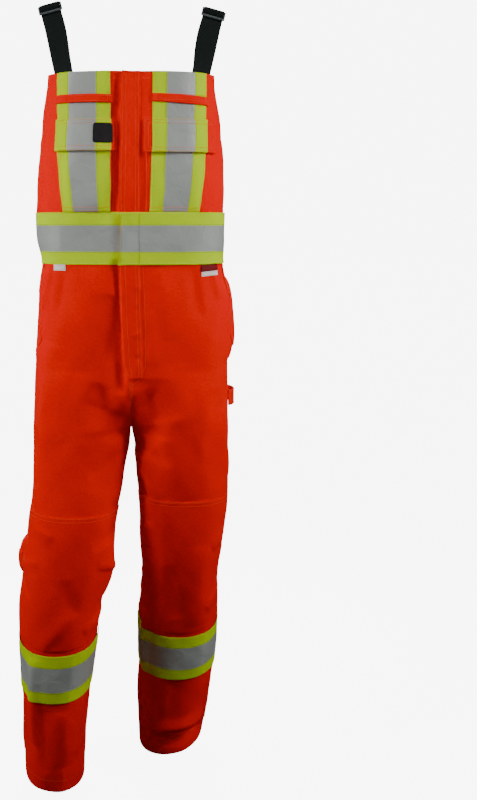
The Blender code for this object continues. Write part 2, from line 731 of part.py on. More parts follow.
# Corners of the patch pockets and of the trims, across and row in metres
trimTable = (
    # name, half, side, corners, start, thickness, finish
    (
        "back_pocket_left",
        "back",
        "left",
        ((0.0214, -0.5668), (0.1660, -0.5570), (0.1690, -0.7340), (0.1500, -0.7495),
         (0.0440, -0.7450), (0.0217, -0.7260)),
        onBody, cloth, "orangeCloth",
    ),
    (
        "back_pocket_right",
        "back",
        "right",
        ((-0.0446, -0.5688), (-0.1796, -0.5587), (-0.1821, -0.7291), (-0.1190, -0.7535),
         (-0.0716, -0.7520), (-0.0502, -0.7312)),
        onBody, cloth, "orangeCloth",
    ),
    (
        "hip_welt_right",
        "front",
        "right",
        ((-0.1920, -0.5035), (-0.2020, -0.5035), (-0.2220, -0.6683), (-0.2120, -0.6683)),
        onBody, cloth, "orangeCloth",
    ),
    (
        "hip_welt_left",
        "front",
        "left",
        ((0.2190, -0.5035), (0.2290, -0.5035), (0.2530, -0.6703), (0.2430, -0.6703)),
        onBody, cloth, "orangeCloth",
    ),
    (
        "rule_pocket",
        "back",
        "left",
        ((0.2290, -0.8640), (0.3080, -0.8560), (0.2960, -1.0290), (0.2260, -1.0310)),
        onBody, cloth, "orangeCloth",
    ),
    (
        "thigh_pocket",
        "back",
        "right",
        ((-0.1960, -0.8290), (-0.3040, -0.8120), (-0.3250, -0.9620), (-0.2420, -0.9730)),
        onBody, cloth, "orangeCloth",
    ),
    (
        "tag_right",
        "front",
        "right",
        ((-0.1335, -0.5008), (-0.1615, -0.5008), (-0.1615, -0.5125), (-0.1335, -0.5125)),
        onBody, 0.0010, "whiteTag",
    ),
    (
        "tag_left_upper",
        "front",
        "left",
        ((0.1435, -0.5008), (0.1880, -0.5008), (0.1870, -0.5130), (0.1432, -0.5150)),
        onBody, 0.0010, "redTag",
    ),
    (
        "tag_left_lower",
        "front",
        "left",
        ((0.1450, -0.5156), (0.1865, -0.5136), (0.1860, -0.5225), (0.1450, -0.5245)),
        onBody, 0.0010, "whiteTag",
    ),
)


def addTrims():
    for name, half, side, corners, start, thickness, finish in trimTable:
        clothWall(name, patch(half, corners, [side]), start, start + thickness, finish)


kneeTop = {"right": -1.010, "left": -0.985}
flapShare = 0.452  # the leg zip's flap starts here


def addLowerLegs():
    """Knee patches, leg tapes, zip flaps and the zip tape in its slit."""
    tapeFoot = legTapeTop - tapeWidth
    for side, sign in sideSign.items():
        kneeFoot = legTapeTop + 0.010
        knee = [(0.018, kneeTop[side]), (0.445, kneeTop[side]), (0.445, kneeFoot), (0.018, kneeFoot)]
        flap = [(flapShare, zipTop), (0.6, zipTop), (0.6, zipFoot), (flapShare, zipFoot)]
        tape = [(seamShare, legTapeTop), (0.6, legTapeTop), (0.6, tapeFoot), (seamShare, tapeFoot)]

        def onSide(outline):
            return [(sign * share, row) for share, row in outline]

        patchSheet = cutPieces("front", [onSide(knee)], [side])
        clothWall(f"knee_patch_{side}", patchSheet, onBody, onBody + cloth)
        flapSheet = cutPieces("front", [onSide(flap)], [side])
        clothWall(f"zip_flap_{side}", flapSheet, onBody, onBody + cloth)
        for half, start in (("front", onCloth), ("back", onBody)):
            tapeSheet = cutPieces(half, [onSide(tape)], [side])
            clothWall(f"leg_tape_{half}_{side}", tapeSheet, start, start + tapeCloth, "tape")
        addZip(side)


def addZip(side):
    """Zip tape behind the slit, sewn a little way under the cloth of the back leg."""
    margin = 0.008
    edge = -cloth - 0.0016
    rows = [zipTop] + [row for row in sheetRows if zipFoot < row < zipTop] + [zipFoot]
    zipTape = stripSheet(
        side, rows, [0.5 - seamShare] * len(rows), [0.5 - slitShare(side, row) - margin for row in rows], 3
    )
    clothWall(f"leg_zip_{side}", zipTape, edge - 0.0015, edge, "webbing")


# Straps: webbing from inside the bib front over the shoulder to inside the bib back
webbing = 0.0020
webbingWidth = 0.0400
strapRows = (-0.1780, -0.1650, -0.1500, -0.1330)  # rows of the part inside the bib
strapUnder = cloth + 2 * seam  # distance of the webbing's outer face from the bib's
strapAcross = {
    # x of the webbing's middle where it leaves the bib front and the bib back
    "right": (0.1330, 0.1380),
    "left": (0.1378, 0.1440),
}
strapPath = {
    # x, y, z of the webbing's middle over the shoulder; the slider sits between the third and fourth
    "right": (
        (0.1370, -0.0770, -0.1000),
        (0.1450, -0.0690, -0.0550),
        (0.1550, -0.0475, -0.0187),
        (0.1605, -0.0215, 0.0017),
        (0.1620, 0.0010, 0.0050),
        (0.1620, 0.0220, 0.0035),
        (0.1575, 0.0440, -0.0200),
        (0.1490, 0.0580, -0.0640),
        (0.1412, 0.0655, -0.1060),
    ),
    "left": (
        (0.1405, -0.0770, -0.1000),
        (0.1475, -0.0690, -0.0640),
        (0.1580, -0.0475, -0.0290),
        (0.1640, -0.0215, -0.0080),
        (0.1665, 0.0010, -0.0030),
        (0.1670, 0.0220, -0.0045),
        (0.1625, 0.0430, -0.0270),
        (0.1545, 0.0555, -0.0680),
        (0.1470, 0.0625, -0.1060),
    ),
}
sliderPlace = 2.5  # the slider's middle is here along the path's points
topPlace = 4  # the path's highest point
shoulderSlope = math.radians(15)  # the outer edge of the webbing is the lower one
strapSteps = 2  # between two points of the path
strapColumns = 3


def facetPoint(side, half, share, row, depth):
    """A point under the faceted cloth of a sheet, at a distance from its outer face."""
    sheet = sheetsOf[half][side]
    place = sheet.verts.layers.float_vector["place"]
    facing = sheet.verts.layers.float_vector["facing"]
    spot = Vector((sideSign[side] * share, row, 0.0))
    for face in sheet.faces:
        corners = [vert.co for vert in face.verts]
        if geometry.intersect_point_tri_2d(spot.xy, *[corner.xy for corner in corners]):
            point = Vector()
            for weight, vert in zip(interpolate.poly_3d_calc(corners, spot), face.verts):
                point += weight * (vert[place] - vert[facing] * depth)
            return point
    raise ValueError(f"no cloth at {side} {half} {share:.4f} {row:.4f}")


def insideRow(side, half, row, x, depth):
    """Points across the webbing where it lies under the bib."""
    shares = np.linspace(0.0, 0.5, 201)
    across, _ = sectionPoint(side, aroundOf(half, shares), np.full(201, row))
    width = webbingWidth * 0.93  # the bib turns away from the middle plane there
    wanted = x + width * np.linspace(-0.5, 0.5, strapColumns + 1)
    return [
        facetPoint(side, half, share, row, depth) for share in np.interp(wanted, across, shares)
    ]


def smoothPath(points, steps):
    """A curve through points, with some steps between each two."""
    points = [2 * points[0] - points[1]] + points + [2 * points[-1] - points[-2]]
    curve = []
    for a, b, c, d in zip(points, points[1:], points[2:], points[3:]):
        for k in range(steps):
            t = k / steps
            bend = (2 * a - 5 * b + 4 * c - d) * t * t + (3 * b - a - 3 * c + d) * t * t * t
            curve.append(0.5 * (2 * b + (c - a) * t + bend))
    curve.append(points[-2])
    return curve


def ribbon(name, outer, inner, finish):
    """A closed ribbon between two grids of points."""
    mesh = bmesh.new()
    outer = [[mesh.verts.new(point) for point in row] for row in outer]
    inner = [[mesh.verts.new(point) for point in row] for row in inner]
    for j in range(len(outer) - 1):
        for i in range(len(outer[j]) - 1):
            mesh.faces.new((outer[j][i], outer[j][i + 1], outer[j + 1][i + 1], outer[j + 1][i]))
            mesh.faces.new((inner[j][i], inner[j + 1][i], inner[j + 1][i + 1], inner[j][i + 1]))
        for i, turn in ((0, 1), (-1, -1)):
            edge = (outer[j][i], outer[j + 1][i], inner[j + 1][i], inner[j][i])
            mesh.faces.new(edge[::turn])
    for j, turn in ((0, -1), (-1, 1)):
        for i in range(len(outer[j]) - 1):
            edge = (outer[j][i], outer[j][i + 1], inner[j][i + 1], inner[j][i])
            mesh.faces.new(edge[::turn])
    bmesh.ops.triangulate(mesh, faces=mesh.faces)
    bmesh.ops.recalc_face_normals(mesh, faces=mesh.faces)
    data = bpy.data.meshes.new(name)
    mesh.to_mesh(data)
    mesh.free()
    return addObject(name, data, finish)


def strapFrames(side):
    """Middle, crosswise direction and outward direction of the webbing from bib to bib."""
    sign = sideSign[side]
    ends = [
        insideRow(side, half, strapRows[-1], x, strapUnder + webbing / 2)
        for half, x in zip(("front", "back"), strapAcross[side])
    ]
    path = [Vector((sign * x, y, z)) for x, y, z in strapPath[side]]
    path = smoothPath(
        [(ends[0][0] + ends[0][-1]) / 2] + path + [(ends[1][0] + ends[1][-1]) / 2], strapSteps
    )
    edges = [(end[-1] - end[0]).normalized() for end in ends]
    top = Vector((sign * math.cos(shoulderSlope), 0.0, -math.sin(shoulderSlope)))
    topRow = (topPlace + 1) * strapSteps
    frames = []
    for k in range(1, len(path) - 1):
        along = (path[k + 1] - path[k - 1]).normalized()
        far = (topRow - k) / topRow if k < topRow else (k - topRow) / (len(path) - 1 - topRow)
        blend = max(0.0, (far - 0.3) / 0.7) ** 1.5
        across = top.lerp(edges[0 if k < topRow else 1], blend)
        across = (across - along * along.dot(across)).normalized()
        frames.append((path[k], across, across.cross(along) * sign))
    return ends, frames


def addStrap(side):
    """One strap, with its slider on the shoulder and the turn of webbing through the slider."""
    ends, frames = strapFrames(side)
    columns = np.linspace(-0.5, 0.5, strapColumns + 1)
    outer, inner = [], []
    for row in strapRows:
        x = strapAcross[side][0]
        outer.append(insideRow(side, "front", row, x, strapUnder))
        inner.append(insideRow(side, "front", row, x, strapUnder + webbing))
    for middle, across, outward in frames:
        # Close to the bib the webbing still has the bib's curve
        bow = []
        for end in ends:
            chord = [end[0].lerp(end[-1], column + 0.5) for column in columns]
            fade = math.exp(-(((end[0] + end[-1]) / 2 - middle).length / 0.03))
            bow.append([(point - straight) * fade for point, straight in zip(end, chord)])
        points = [
            middle + across * webbingWidth * column + bow[0][i] + bow[1][i]
            for i, column in enumerate(columns)
        ]
        outer.append([point + outward * webbing / 2 for point in points])
        inner.append([point - outward * webbing / 2 for point in points])
    for row in reversed(strapRows):
        x = strapAcross[side][1]
        outer.append(insideRow(side, "back", row, x, strapUnder))
        inner.append(insideRow(side, "back", row, x, strapUnder + webbing))
    ribbon(f"strap_{side}", outer, inner, "webbing")
    middle, across, outward = frames[round((sliderPlace + 1) * strapSteps) - 1]
    addSlider(side, middle + outward * webbing / 2, across, outward)


sliderWidth, sliderLength, sliderThickness = 0.0475, 0.0300, 0.0032
sliderBar = 0.0048
turnRise = 0.0125  # height of the turn of webbing above the slider's lower face


def addSlider(side, seat, across, outward):
    """A frame with two windows, and webbing that comes up through one and down through the other."""
    along = outward.cross(across) * sideSign[side]
    if along.y < 0:
        along = -along
    low = webbing / 2  # the webbing under the slider bends away from it
    lift = low + webbing / 2 + seam

    def at(x, y, z):
        return seat + across * x + along * y + outward * z

    outerX, windowX = sliderWidth / 2, webbingWidth / 2 + 0.0005
    outerY, barY, middleY = sliderLength / 2, sliderLength / 2 - sliderBar, sliderBar / 2
    columns = (-outerX, -windowX, windowX, outerX)
    rows = (-outerY, -barY, -middleY, middleY, barY, outerY)
    frame = bmesh.new()
    corners = [[frame.verts.new(at(x, y, lift)) for x in columns] for y in rows]
    for j in range(len(rows) - 1):
        for i in range(len(columns) - 1):
            if i == 1 and j in (1, 3):
                continue
            frame.faces.new((corners[j][i], corners[j][i + 1], corners[j + 1][i + 1], corners[j + 1][i]))
    solid = bmesh.ops.extrude_face_region(frame, geom=frame.faces[:])
    for vert in [item for item in solid["geom"] if isinstance(item, bmesh.types.BMVert)]:
        vert.co += outward * sliderThickness
    bmesh.ops.recalc_face_normals(frame, faces=frame.faces)
    bmesh.ops.triangulate(frame, faces=frame.faces)
    data = bpy.data.meshes.new(f"slider_{side}")
    frame.to_mesh(data)
    frame.free()
    addObject(f"slider_{side}", data, "plastic")

    # The turn: under the front bar, over the middle bar and under the back bar
    reach = (barY + middleY) / 2 + 0.0012
    profile = [(-outerY + 0.001, low), (-barY + 0.0007, low), (-reach, low + 0.0026)]
    for degrees in (170, 145, 118, 90, 62, 35, 10):
        angle = math.radians(degrees)
        rise = turnRise - 0.0045
        profile.append((reach * math.cos(angle), 0.0045 + rise * math.sin(angle)))
    profile += [(reach, low + 0.0026), (barY - 0.0007, low), (outerY - 0.001, low)]
    outer, inner = [], []
    for k, (y, z) in enumerate(profile):
        before, after = profile[max(k - 1, 0)], profile[min(k + 1, len(profile) - 1)]
        run = Vector((after[0] - before[0], after[1] - before[1])).normalized()
        for grid, offset in ((outer, webbing / 2), (inner, -webbing / 2)):
            grid.append(
                [
                    at(x, y - run.y * offset, z + run.x * offset)
                    for x in (-webbingWidth / 2, webbingWidth / 2)
                ]
            )
    ribbon(f"strap_turn_{side}", outer, inner, "webbing")


# Hammer loop: a cloth band round the left outseam
hammerRow = -0.7820
hammerWidth = 0.0320
hammerCloth = 0.0022
hammerFrom, hammerTo = 0.4650, 0.6130  # around the leg, front end and back end
hammerBulge = 0.0125


def addHammerLoop():
    """A band that stands off the leg between its two sewn ends."""
    rows = (hammerRow + hammerWidth / 2, hammerRow, hammerRow - hammerWidth / 2)
    outer, inner = [], []
    steps = 14
    for k in range(steps + 1):
        around = hammerFrom + (hammerTo - hammerFrom) * k / steps
        if k in (0, steps):
            half, share = ("front", around) if k == 0 else ("back", 1 - around)
            inner.append([facetPoint("left", half, share, row, -seam - 0.0001) for row in rows])
            outer.append([facetPoint("left", half, share, row, -seam - hammerCloth) for row in rows])
            continue
        stand = 0.0016 + hammerBulge * math.sin(math.pi * k / steps) ** 0.7
        arounds, heights = np.full(3, around), np.array(rows)
        points = bodyPoint("left", arounds, heights)
        facing = smoothFacing("left", arounds, heights)
        inner.append([Vector(point) for point in points + facing * stand])
        outer.append([Vector(point) for point in points + facing * (stand + hammerCloth)])
    ribbon("hammer_loop", outer, inner, "orangeCloth")


addBodyPanels()
addChest()
addPlacket()
addWaist()
addBackCross()
addTrims()
addLowerLegs()
for side in sideSign:
    addStrap(side)
addHammerLoop()
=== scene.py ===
# High-visibility bib overalls in cotton twill, filled out as worn, with reflective tape.
# Lengths are in metres, +Z up. The front faces -Y and the wearer's right is towards -X.
import json
import math
import bmesh
import bpy
import numpy as np
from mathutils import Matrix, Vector

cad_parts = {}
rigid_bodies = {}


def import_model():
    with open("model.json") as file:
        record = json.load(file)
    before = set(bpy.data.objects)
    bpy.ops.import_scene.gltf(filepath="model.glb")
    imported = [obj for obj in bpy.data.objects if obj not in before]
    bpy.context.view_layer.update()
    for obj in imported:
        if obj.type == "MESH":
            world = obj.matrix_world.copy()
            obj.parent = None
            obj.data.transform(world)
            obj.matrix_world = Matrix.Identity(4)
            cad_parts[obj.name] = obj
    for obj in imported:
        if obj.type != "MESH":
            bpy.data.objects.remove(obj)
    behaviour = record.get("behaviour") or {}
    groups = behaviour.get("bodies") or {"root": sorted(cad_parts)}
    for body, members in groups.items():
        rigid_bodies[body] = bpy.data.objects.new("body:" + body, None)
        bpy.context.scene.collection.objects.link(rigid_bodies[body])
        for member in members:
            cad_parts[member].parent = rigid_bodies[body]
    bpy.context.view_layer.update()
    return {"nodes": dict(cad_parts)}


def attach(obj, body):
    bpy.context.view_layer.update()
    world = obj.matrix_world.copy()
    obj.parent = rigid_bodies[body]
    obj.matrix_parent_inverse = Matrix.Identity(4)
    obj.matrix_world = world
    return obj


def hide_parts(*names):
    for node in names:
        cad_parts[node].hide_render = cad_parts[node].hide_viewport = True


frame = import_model()
print("frame: loaded", len(frame["nodes"]), "nodes")
sideSign = {"right": -1.0, "left": 1.0}
seam = 0.0003
clothThickness = 0.0016
tapeThickness = 0.0011
tapeWidth = 0.1016  # 4 inch tape with a 2 inch silver stripe
bibTop = -0.132
armholeFoot = -0.388
waistSeam = -0.450
waistTapeTop = -0.3985
forkTop = -0.715
crotch = -0.845
legTapeTop = -1.2745
hemHeight = {"right": -1.603, "left": -1.587}
# Depth of the body in front of and behind the middle line, and how square its sections are
depthTable = (
    # height, front, back, squareness
    (-0.080, 0.108, 0.090, 2.70),
    (-0.132, 0.115, 0.095, 2.70),
    (-0.200, 0.122, 0.104, 2.65),
    (-0.300, 0.127, 0.111, 2.60),
    (-0.400, 0.125, 0.106, 2.60),
    (-0.500, 0.121, 0.104, 2.60),
    (-0.560, 0.121, 0.116, 2.55),
    (-0.650, 0.120, 0.133, 2.50),
    (-0.720, 0.118, 0.139, 2.45),
    (-0.800, 0.115, 0.132, 2.35),
    (-0.860, 0.113, 0.122, 2.30),
    (-0.950, 0.112, 0.112, 2.25),
    (-1.050, 0.114, 0.107, 2.20),
    (-1.150, 0.114, 0.110, 2.20),
    (-1.300, 0.114, 0.114, 2.20),
    (-1.450, 0.116, 0.116, 2.20),
    (-1.640, 0.118, 0.118, 2.20),
)
# Outer edge of each half of the body, and below the crotch each leg's inner edge and its middle
# line: one leg stands forward and the other back
outlineTable = {
    "right": (
        # height, outer, inner, middle
        (-0.080, 0.168, 0.0, 0.0),
        (-0.132, 0.172, 0.0, 0.0),
        (-0.200, 0.180, 0.0, 0.0),
        (-0.280, 0.186, 0.0, 0.0),
        (-0.360, 0.192, 0.0, 0.0),
        (-0.400, 0.195, 0.0, 0.0),
        (-0.450, 0.192, 0.0, 0.0),
        (-0.495, 0.184, 0.0, 0.0),
        (-0.530, 0.188, 0.0, 0.0),
        (-0.580, 0.194, 0.0, 0.0),
        (-0.640, 0.199, 0.0, 0.0),
        (-0.720, 0.203, 0.0, 0.0),
        (-0.790, 0.205, 0.0, 0.0),
        (-0.845, 0.207, 0.0006, 0.000),
        (-0.880, 0.206, 0.004, -0.003),
        (-0.930, 0.207, 0.013, -0.010),
        (-0.980, 0.211, 0.021, -0.018),
        (-1.030, 0.217, 0.030, -0.026),
        (-1.085, 0.223, 0.036, -0.034),
        (-1.140, 0.230, 0.045, -0.042),
        (-1.190, 0.235, 0.060, -0.048),
        (-1.244, 0.237, 0.069, -0.053),
        (-1.300, 0.237, 0.075, -0.057),
        (-1.350, 0.235, 0.081, -0.060),
        (-1.400, 0.232, 0.088, -0.062),
        (-1.460, 0.231, 0.093, -0.063),
        (-1.520, 0.231, 0.099, -0.064),
        (-1.580, 0.231, 0.102, -0.065),
        (-1.640, 0.231, 0.104, -0.065),
    ),
    "left": (
        (-0.080, 0.168, 0.0, 0.0),
        (-0.132, 0.173, 0.0, 0.0),
        (-0.200, 0.180, 0.0, 0.0),
        (-0.280, 0.186, 0.0, 0.0),
        (-0.360, 0.190, 0.0, 0.0),
        (-0.400, 0.190, 0.0, 0.0),
        (-0.450, 0.189, 0.0, 0.0),
        (-0.495, 0.187, 0.0, 0.0),
        (-0.530, 0.194, 0.0, 0.0),
        (-0.580, 0.201, 0.0, 0.0),
        (-0.640, 0.203, 0.0, 0.0),
        (-0.720, 0.204, 0.0, 0.0),
        (-0.790, 0.206, 0.0, 0.0),
        (-0.845, 0.207, 0.0006, 0.000),
        (-0.880, 0.207, 0.008, 0.001),
        (-0.930, 0.208, 0.011, 0.003),
        (-0.980, 0.208, 0.016, 0.006),
        (-1.040, 0.205, 0.021, 0.010),
        (-1.100, 0.198, 0.022, 0.015),
        (-1.155, 0.191, 0.027, 0.022),
        (-1.210, 0.190, 0.025, 0.029),
        (-1.270, 0.191, 0.018, 0.035),
        (-1.330, 0.190, 0.018, 0.041),
        (-1.390, 0.185, 0.018, 0.046),
        (-1.450, 0.178, 0.016, 0.050),
        (-1.510, 0.172, 0.018, 0.054),
        (-1.570, 0.166, 0.019, 0.057),
        (-1.640, 0.162, 0.021, 0.059),
    ),
}
# Rows sewn level that hang out of level on the body: tilt lowers the front and raises the back,
# lift raises the outer side
levelTable = {
    "right": (
        # height, tilt, lift
        (-0.900, 0.000, 0.000),
        (-1.050, 0.004, 0.000),
        (-1.250, 0.019, -0.004),
        (-1.380, 0.019, -0.002),
        (-1.500, 0.006, 0.016),
        (-1.640, -0.002, 0.030),
    ),
    "left": (
        (-0.900, 0.000, 0.000),
        (-1.050, 0.004, 0.000),
        (-1.250, 0.019, 0.002),
        (-1.380, 0.019, 0.008),
        (-1.500, 0.006, 0.028),
        (-1.640, 0.000, 0.042),
    ),
}


def readTable(table, column, heights):
    rows = sorted(table)
    at = np.array([row[0] for row in rows])
    value = np.array([row[column] for row in rows])
    slope = np.gradient(value, at)
    heights = np.clip(heights, at[0], at[-1])
    k = np.clip(np.searchsorted(at, heights) - 1, 0, len(at) - 2)
    step = at[k + 1] - at[k]
    t = (heights - at[k]) / step
    return (
        (1 + 2 * t) * (1 - t) ** 2 * value[k]
        + t * (1 - t) ** 2 * step * slope[k]
        + t * t * (3 - 2 * t) * value[k + 1]
        + t * t * (t - 1) * step * slope[k + 1]
    )


sectionSteps = 48  # steps that measure the length of half a section


def sectionPoint(side, around, height):
    outline = outlineTable[side]
    outer = readTable(outline, 1, height)
    fork = np.clip((forkTop - height) / (forkTop - crotch), 0.0, 1.0)
    joined = -outer * (1 - fork) / (1 + fork)
    inner = np.where(height > crotch, joined, np.maximum(readTable(outline, 2, height), 0.0006))
    middle = np.where(height > crotch, 0.0, readTable(outline, 3, height))
    squareness = readTable(depthTable, 3, height)
    centre = (outer + inner) / 2
    half = (outer - inner) / 2
    end = np.arccos(-np.clip(centre / half, 0.0, 1.0) ** (squareness / 2))
    back = around > 0.5
    depth = np.where(back, readTable(depthTable, 2, height), readTable(depthTable, 1, height))

    def place(angle, power):
        cosine, sine = np.cos(angle), np.sin(angle)
        x = np.sign(cosine) * np.abs(cosine) ** power
        y = np.sign(sine) * np.abs(sine) ** power
        return x, y

    power = 2 / squareness
    steps = np.linspace(0.0, 1.0, sectionSteps + 1)
    angles = np.where(back[:, None], steps, steps - 1.0) * end[:, None]
    x, y = place(angles, power[:, None])
    x, y = x * half[:, None], y * depth[:, None]
    length = np.cumsum(np.hypot(np.diff(x, axis=1), np.diff(y, axis=1)), axis=1)
    length = np.concatenate([np.zeros((len(length), 1)), length], axis=1) / length[:, -1:]
    share = np.where(back, 2 * around - 1, 2 * around)
    k = np.clip((length < share[:, None]).sum(axis=1) - 1, 0, sectionSteps - 1)
    row = np.arange(len(k))
    t = (share - length[row, k]) / (length[row, k + 1] - length[row, k])
    angle = angles[row, k] + t * (angles[row, k + 1] - angles[row, k])
    x, y = place(angle, power)
    return np.maximum(centre + x * half, fork * 0.0003), middle + y * depth


def bodyPoint(side, around, row):
    tilt = readTable(levelTable[side], 1, row)
    lift = readTable(levelTable[side], 2, row)
    x, y = sectionPoint(side, around, row)
    z = row - tilt * np.sin(2 * math.pi * around) + lift * (1 - np.cos(2 * math.pi * around)) / 2
    return np.stack([sideSign[side] * x, y, z], axis=1)


# Largest folds, as ridges and troughs on the smooth body. share runs across each sheet from its
# middle (0) to the side seam (0.5), negative on the wearer's right.
foldTable = {
    "front": (
        # share, row, to share, to row, width, height
        (0.46, -0.53, 0.47, -0.7, 0.03, 0.013),
        (-0.455, -0.56, -0.455, -0.68, 0.026, -0.005),
        (0.004, -0.745, 0.08, -0.85, 0.022, 0.003),
        (0.03, -0.76, 0.16, -0.87, 0.026, -0.008),
        (-0.03, -0.82, -0.15, -0.75, 0.034, -0.003),
        (-0.317, -0.66, -0.405, -0.95, 0.03, 0.007),
        (-0.12, -0.74, -0.2, -0.96, 0.034, -0.006),
        (0.165, -0.7, 0.245, -0.985, 0.03, 0.006),
        (0.33, -0.76, 0.37, -0.96, 0.03, -0.005),
        (-0.48, -1.075, -0.48, -1.145, 0.022, 0.013),
        (-0.1, -1.07, -0.04, -1.19, 0.026, 0.008),
        (-0.325, -1.285, -0.325, -1.5, 0.013, 0.007),
        (0.105, -1.235, 0.112, -1.38, 0.013, 0.006),
        (0.15, -1.548, 0.4, -1.555, 0.014, -0.013),
        (0.175, -1.522, 0.38, -1.514, 0.014, 0.007),
        (-0.225, -1.4, -0.195, -1.54, 0.022, 0.006),
        (0.3, -1.08, 0.31, -1.25, 0.028, 0.005),
    ),
    "back": (
        (0.33, -0.752, 0.06, -0.772, 0.015, 0.013),
        (0.36, -0.775, 0.14, -0.8, 0.014, -0.012),
        (0.19, -0.78, 0.16, -0.835, 0.014, 0.009),
        (0.03, -0.835, 0.19, -0.868, 0.018, -0.009),
        (0.028, -0.58, 0.045, -0.735, 0.014, -0.012),
        (-0.04, -0.745, -0.16, -0.86, 0.022, -0.009),
        (0.3, -1.074, 0.2, -1.062, 0.013, 0.01),
        (0.265, -1.044, 0.2, -1.034, 0.013, -0.009),
        (0.265, -1.103, 0.15, -1.12, 0.013, 0.01),
        (0.29, -1.09, 0.21, -1.087, 0.012, -0.01),
        (0.265, -1.13, 0.16, -1.245, 0.016, 0.01),
        (0.23, -1.17, 0.12, -1.262, 0.016, -0.009),
        (0.345, -1.225, 0.17, -1.258, 0.015, 0.008),
        (-0.17, -1.083, -0.33, -1.158, 0.017, 0.015),
        (-0.15, -1.125, -0.29, -1.19, 0.018, -0.013),
        (-0.215, -1.225, -0.34, -1.172, 0.016, 0.009),
        (0.281, -1.41, 0.279, -1.55, 0.022, 0.006),
        (-0.21, -1.43, -0.208, -1.58, 0.022, 0.006),
        (0.32, -0.6, 0.335, -0.73, 0.022, 0.006),
        (-0.19, -0.59, -0.2, -0.76, 0.03, 0.007),
    ),
}
# Shares that leave half of a seam's gap
seamShare = 0.0004
# Where the sheets end short of the side seam
armholeTable = {
    "right": (
        # row, share of the front sheet, share of the back sheet
        (-0.11, 0.392, 0.412),
        (-0.132, 0.388, 0.408),
        (-0.155, 0.389, 0.39),
        (-0.18, 0.402, 0.373),
        (-0.24, 0.414, 0.361),
        (-0.3, 0.428, 0.35),
        (-0.35, 0.452, 0.362),
        (-0.375, 0.472, 0.395),
        (-0.388, 0.4996, 0.4996),
    ),
    "left": (
        (-0.11, 0.405, 0.43),
        (-0.132, 0.4, 0.422),
        (-0.155, 0.388, 0.408),
        (-0.18, 0.392, 0.394),
        (-0.24, 0.43, 0.366),
        (-0.3, 0.45, 0.358),
        (-0.35, 0.47, 0.372),
        (-0.375, 0.482, 0.4),
        (-0.388, 0.4996, 0.4996),
    ),
}
zipTop, zipFoot = -1.105, -1.560
zipFullTop, zipFullFoot = -1.132, -1.543  # between these rows the slit has its full width
zipShare = {"right": 0.06, "left": 0.074}


def slitShare(side, row):
    width = zipShare[side]
    return float(np.interp(row, (zipFoot, zipFullFoot, zipFullTop, zipTop), (0, width, width, 0)))


def sheetEdge(side, half, row):
    if row > armholeFoot:
        column = 1 if half == "front" else 2
        return float(readTable(armholeTable[side], column, np.array([row]))[0])
    edge = 0.5 - seamShare
    return edge - slitShare(side, row) if half == "back" else edge


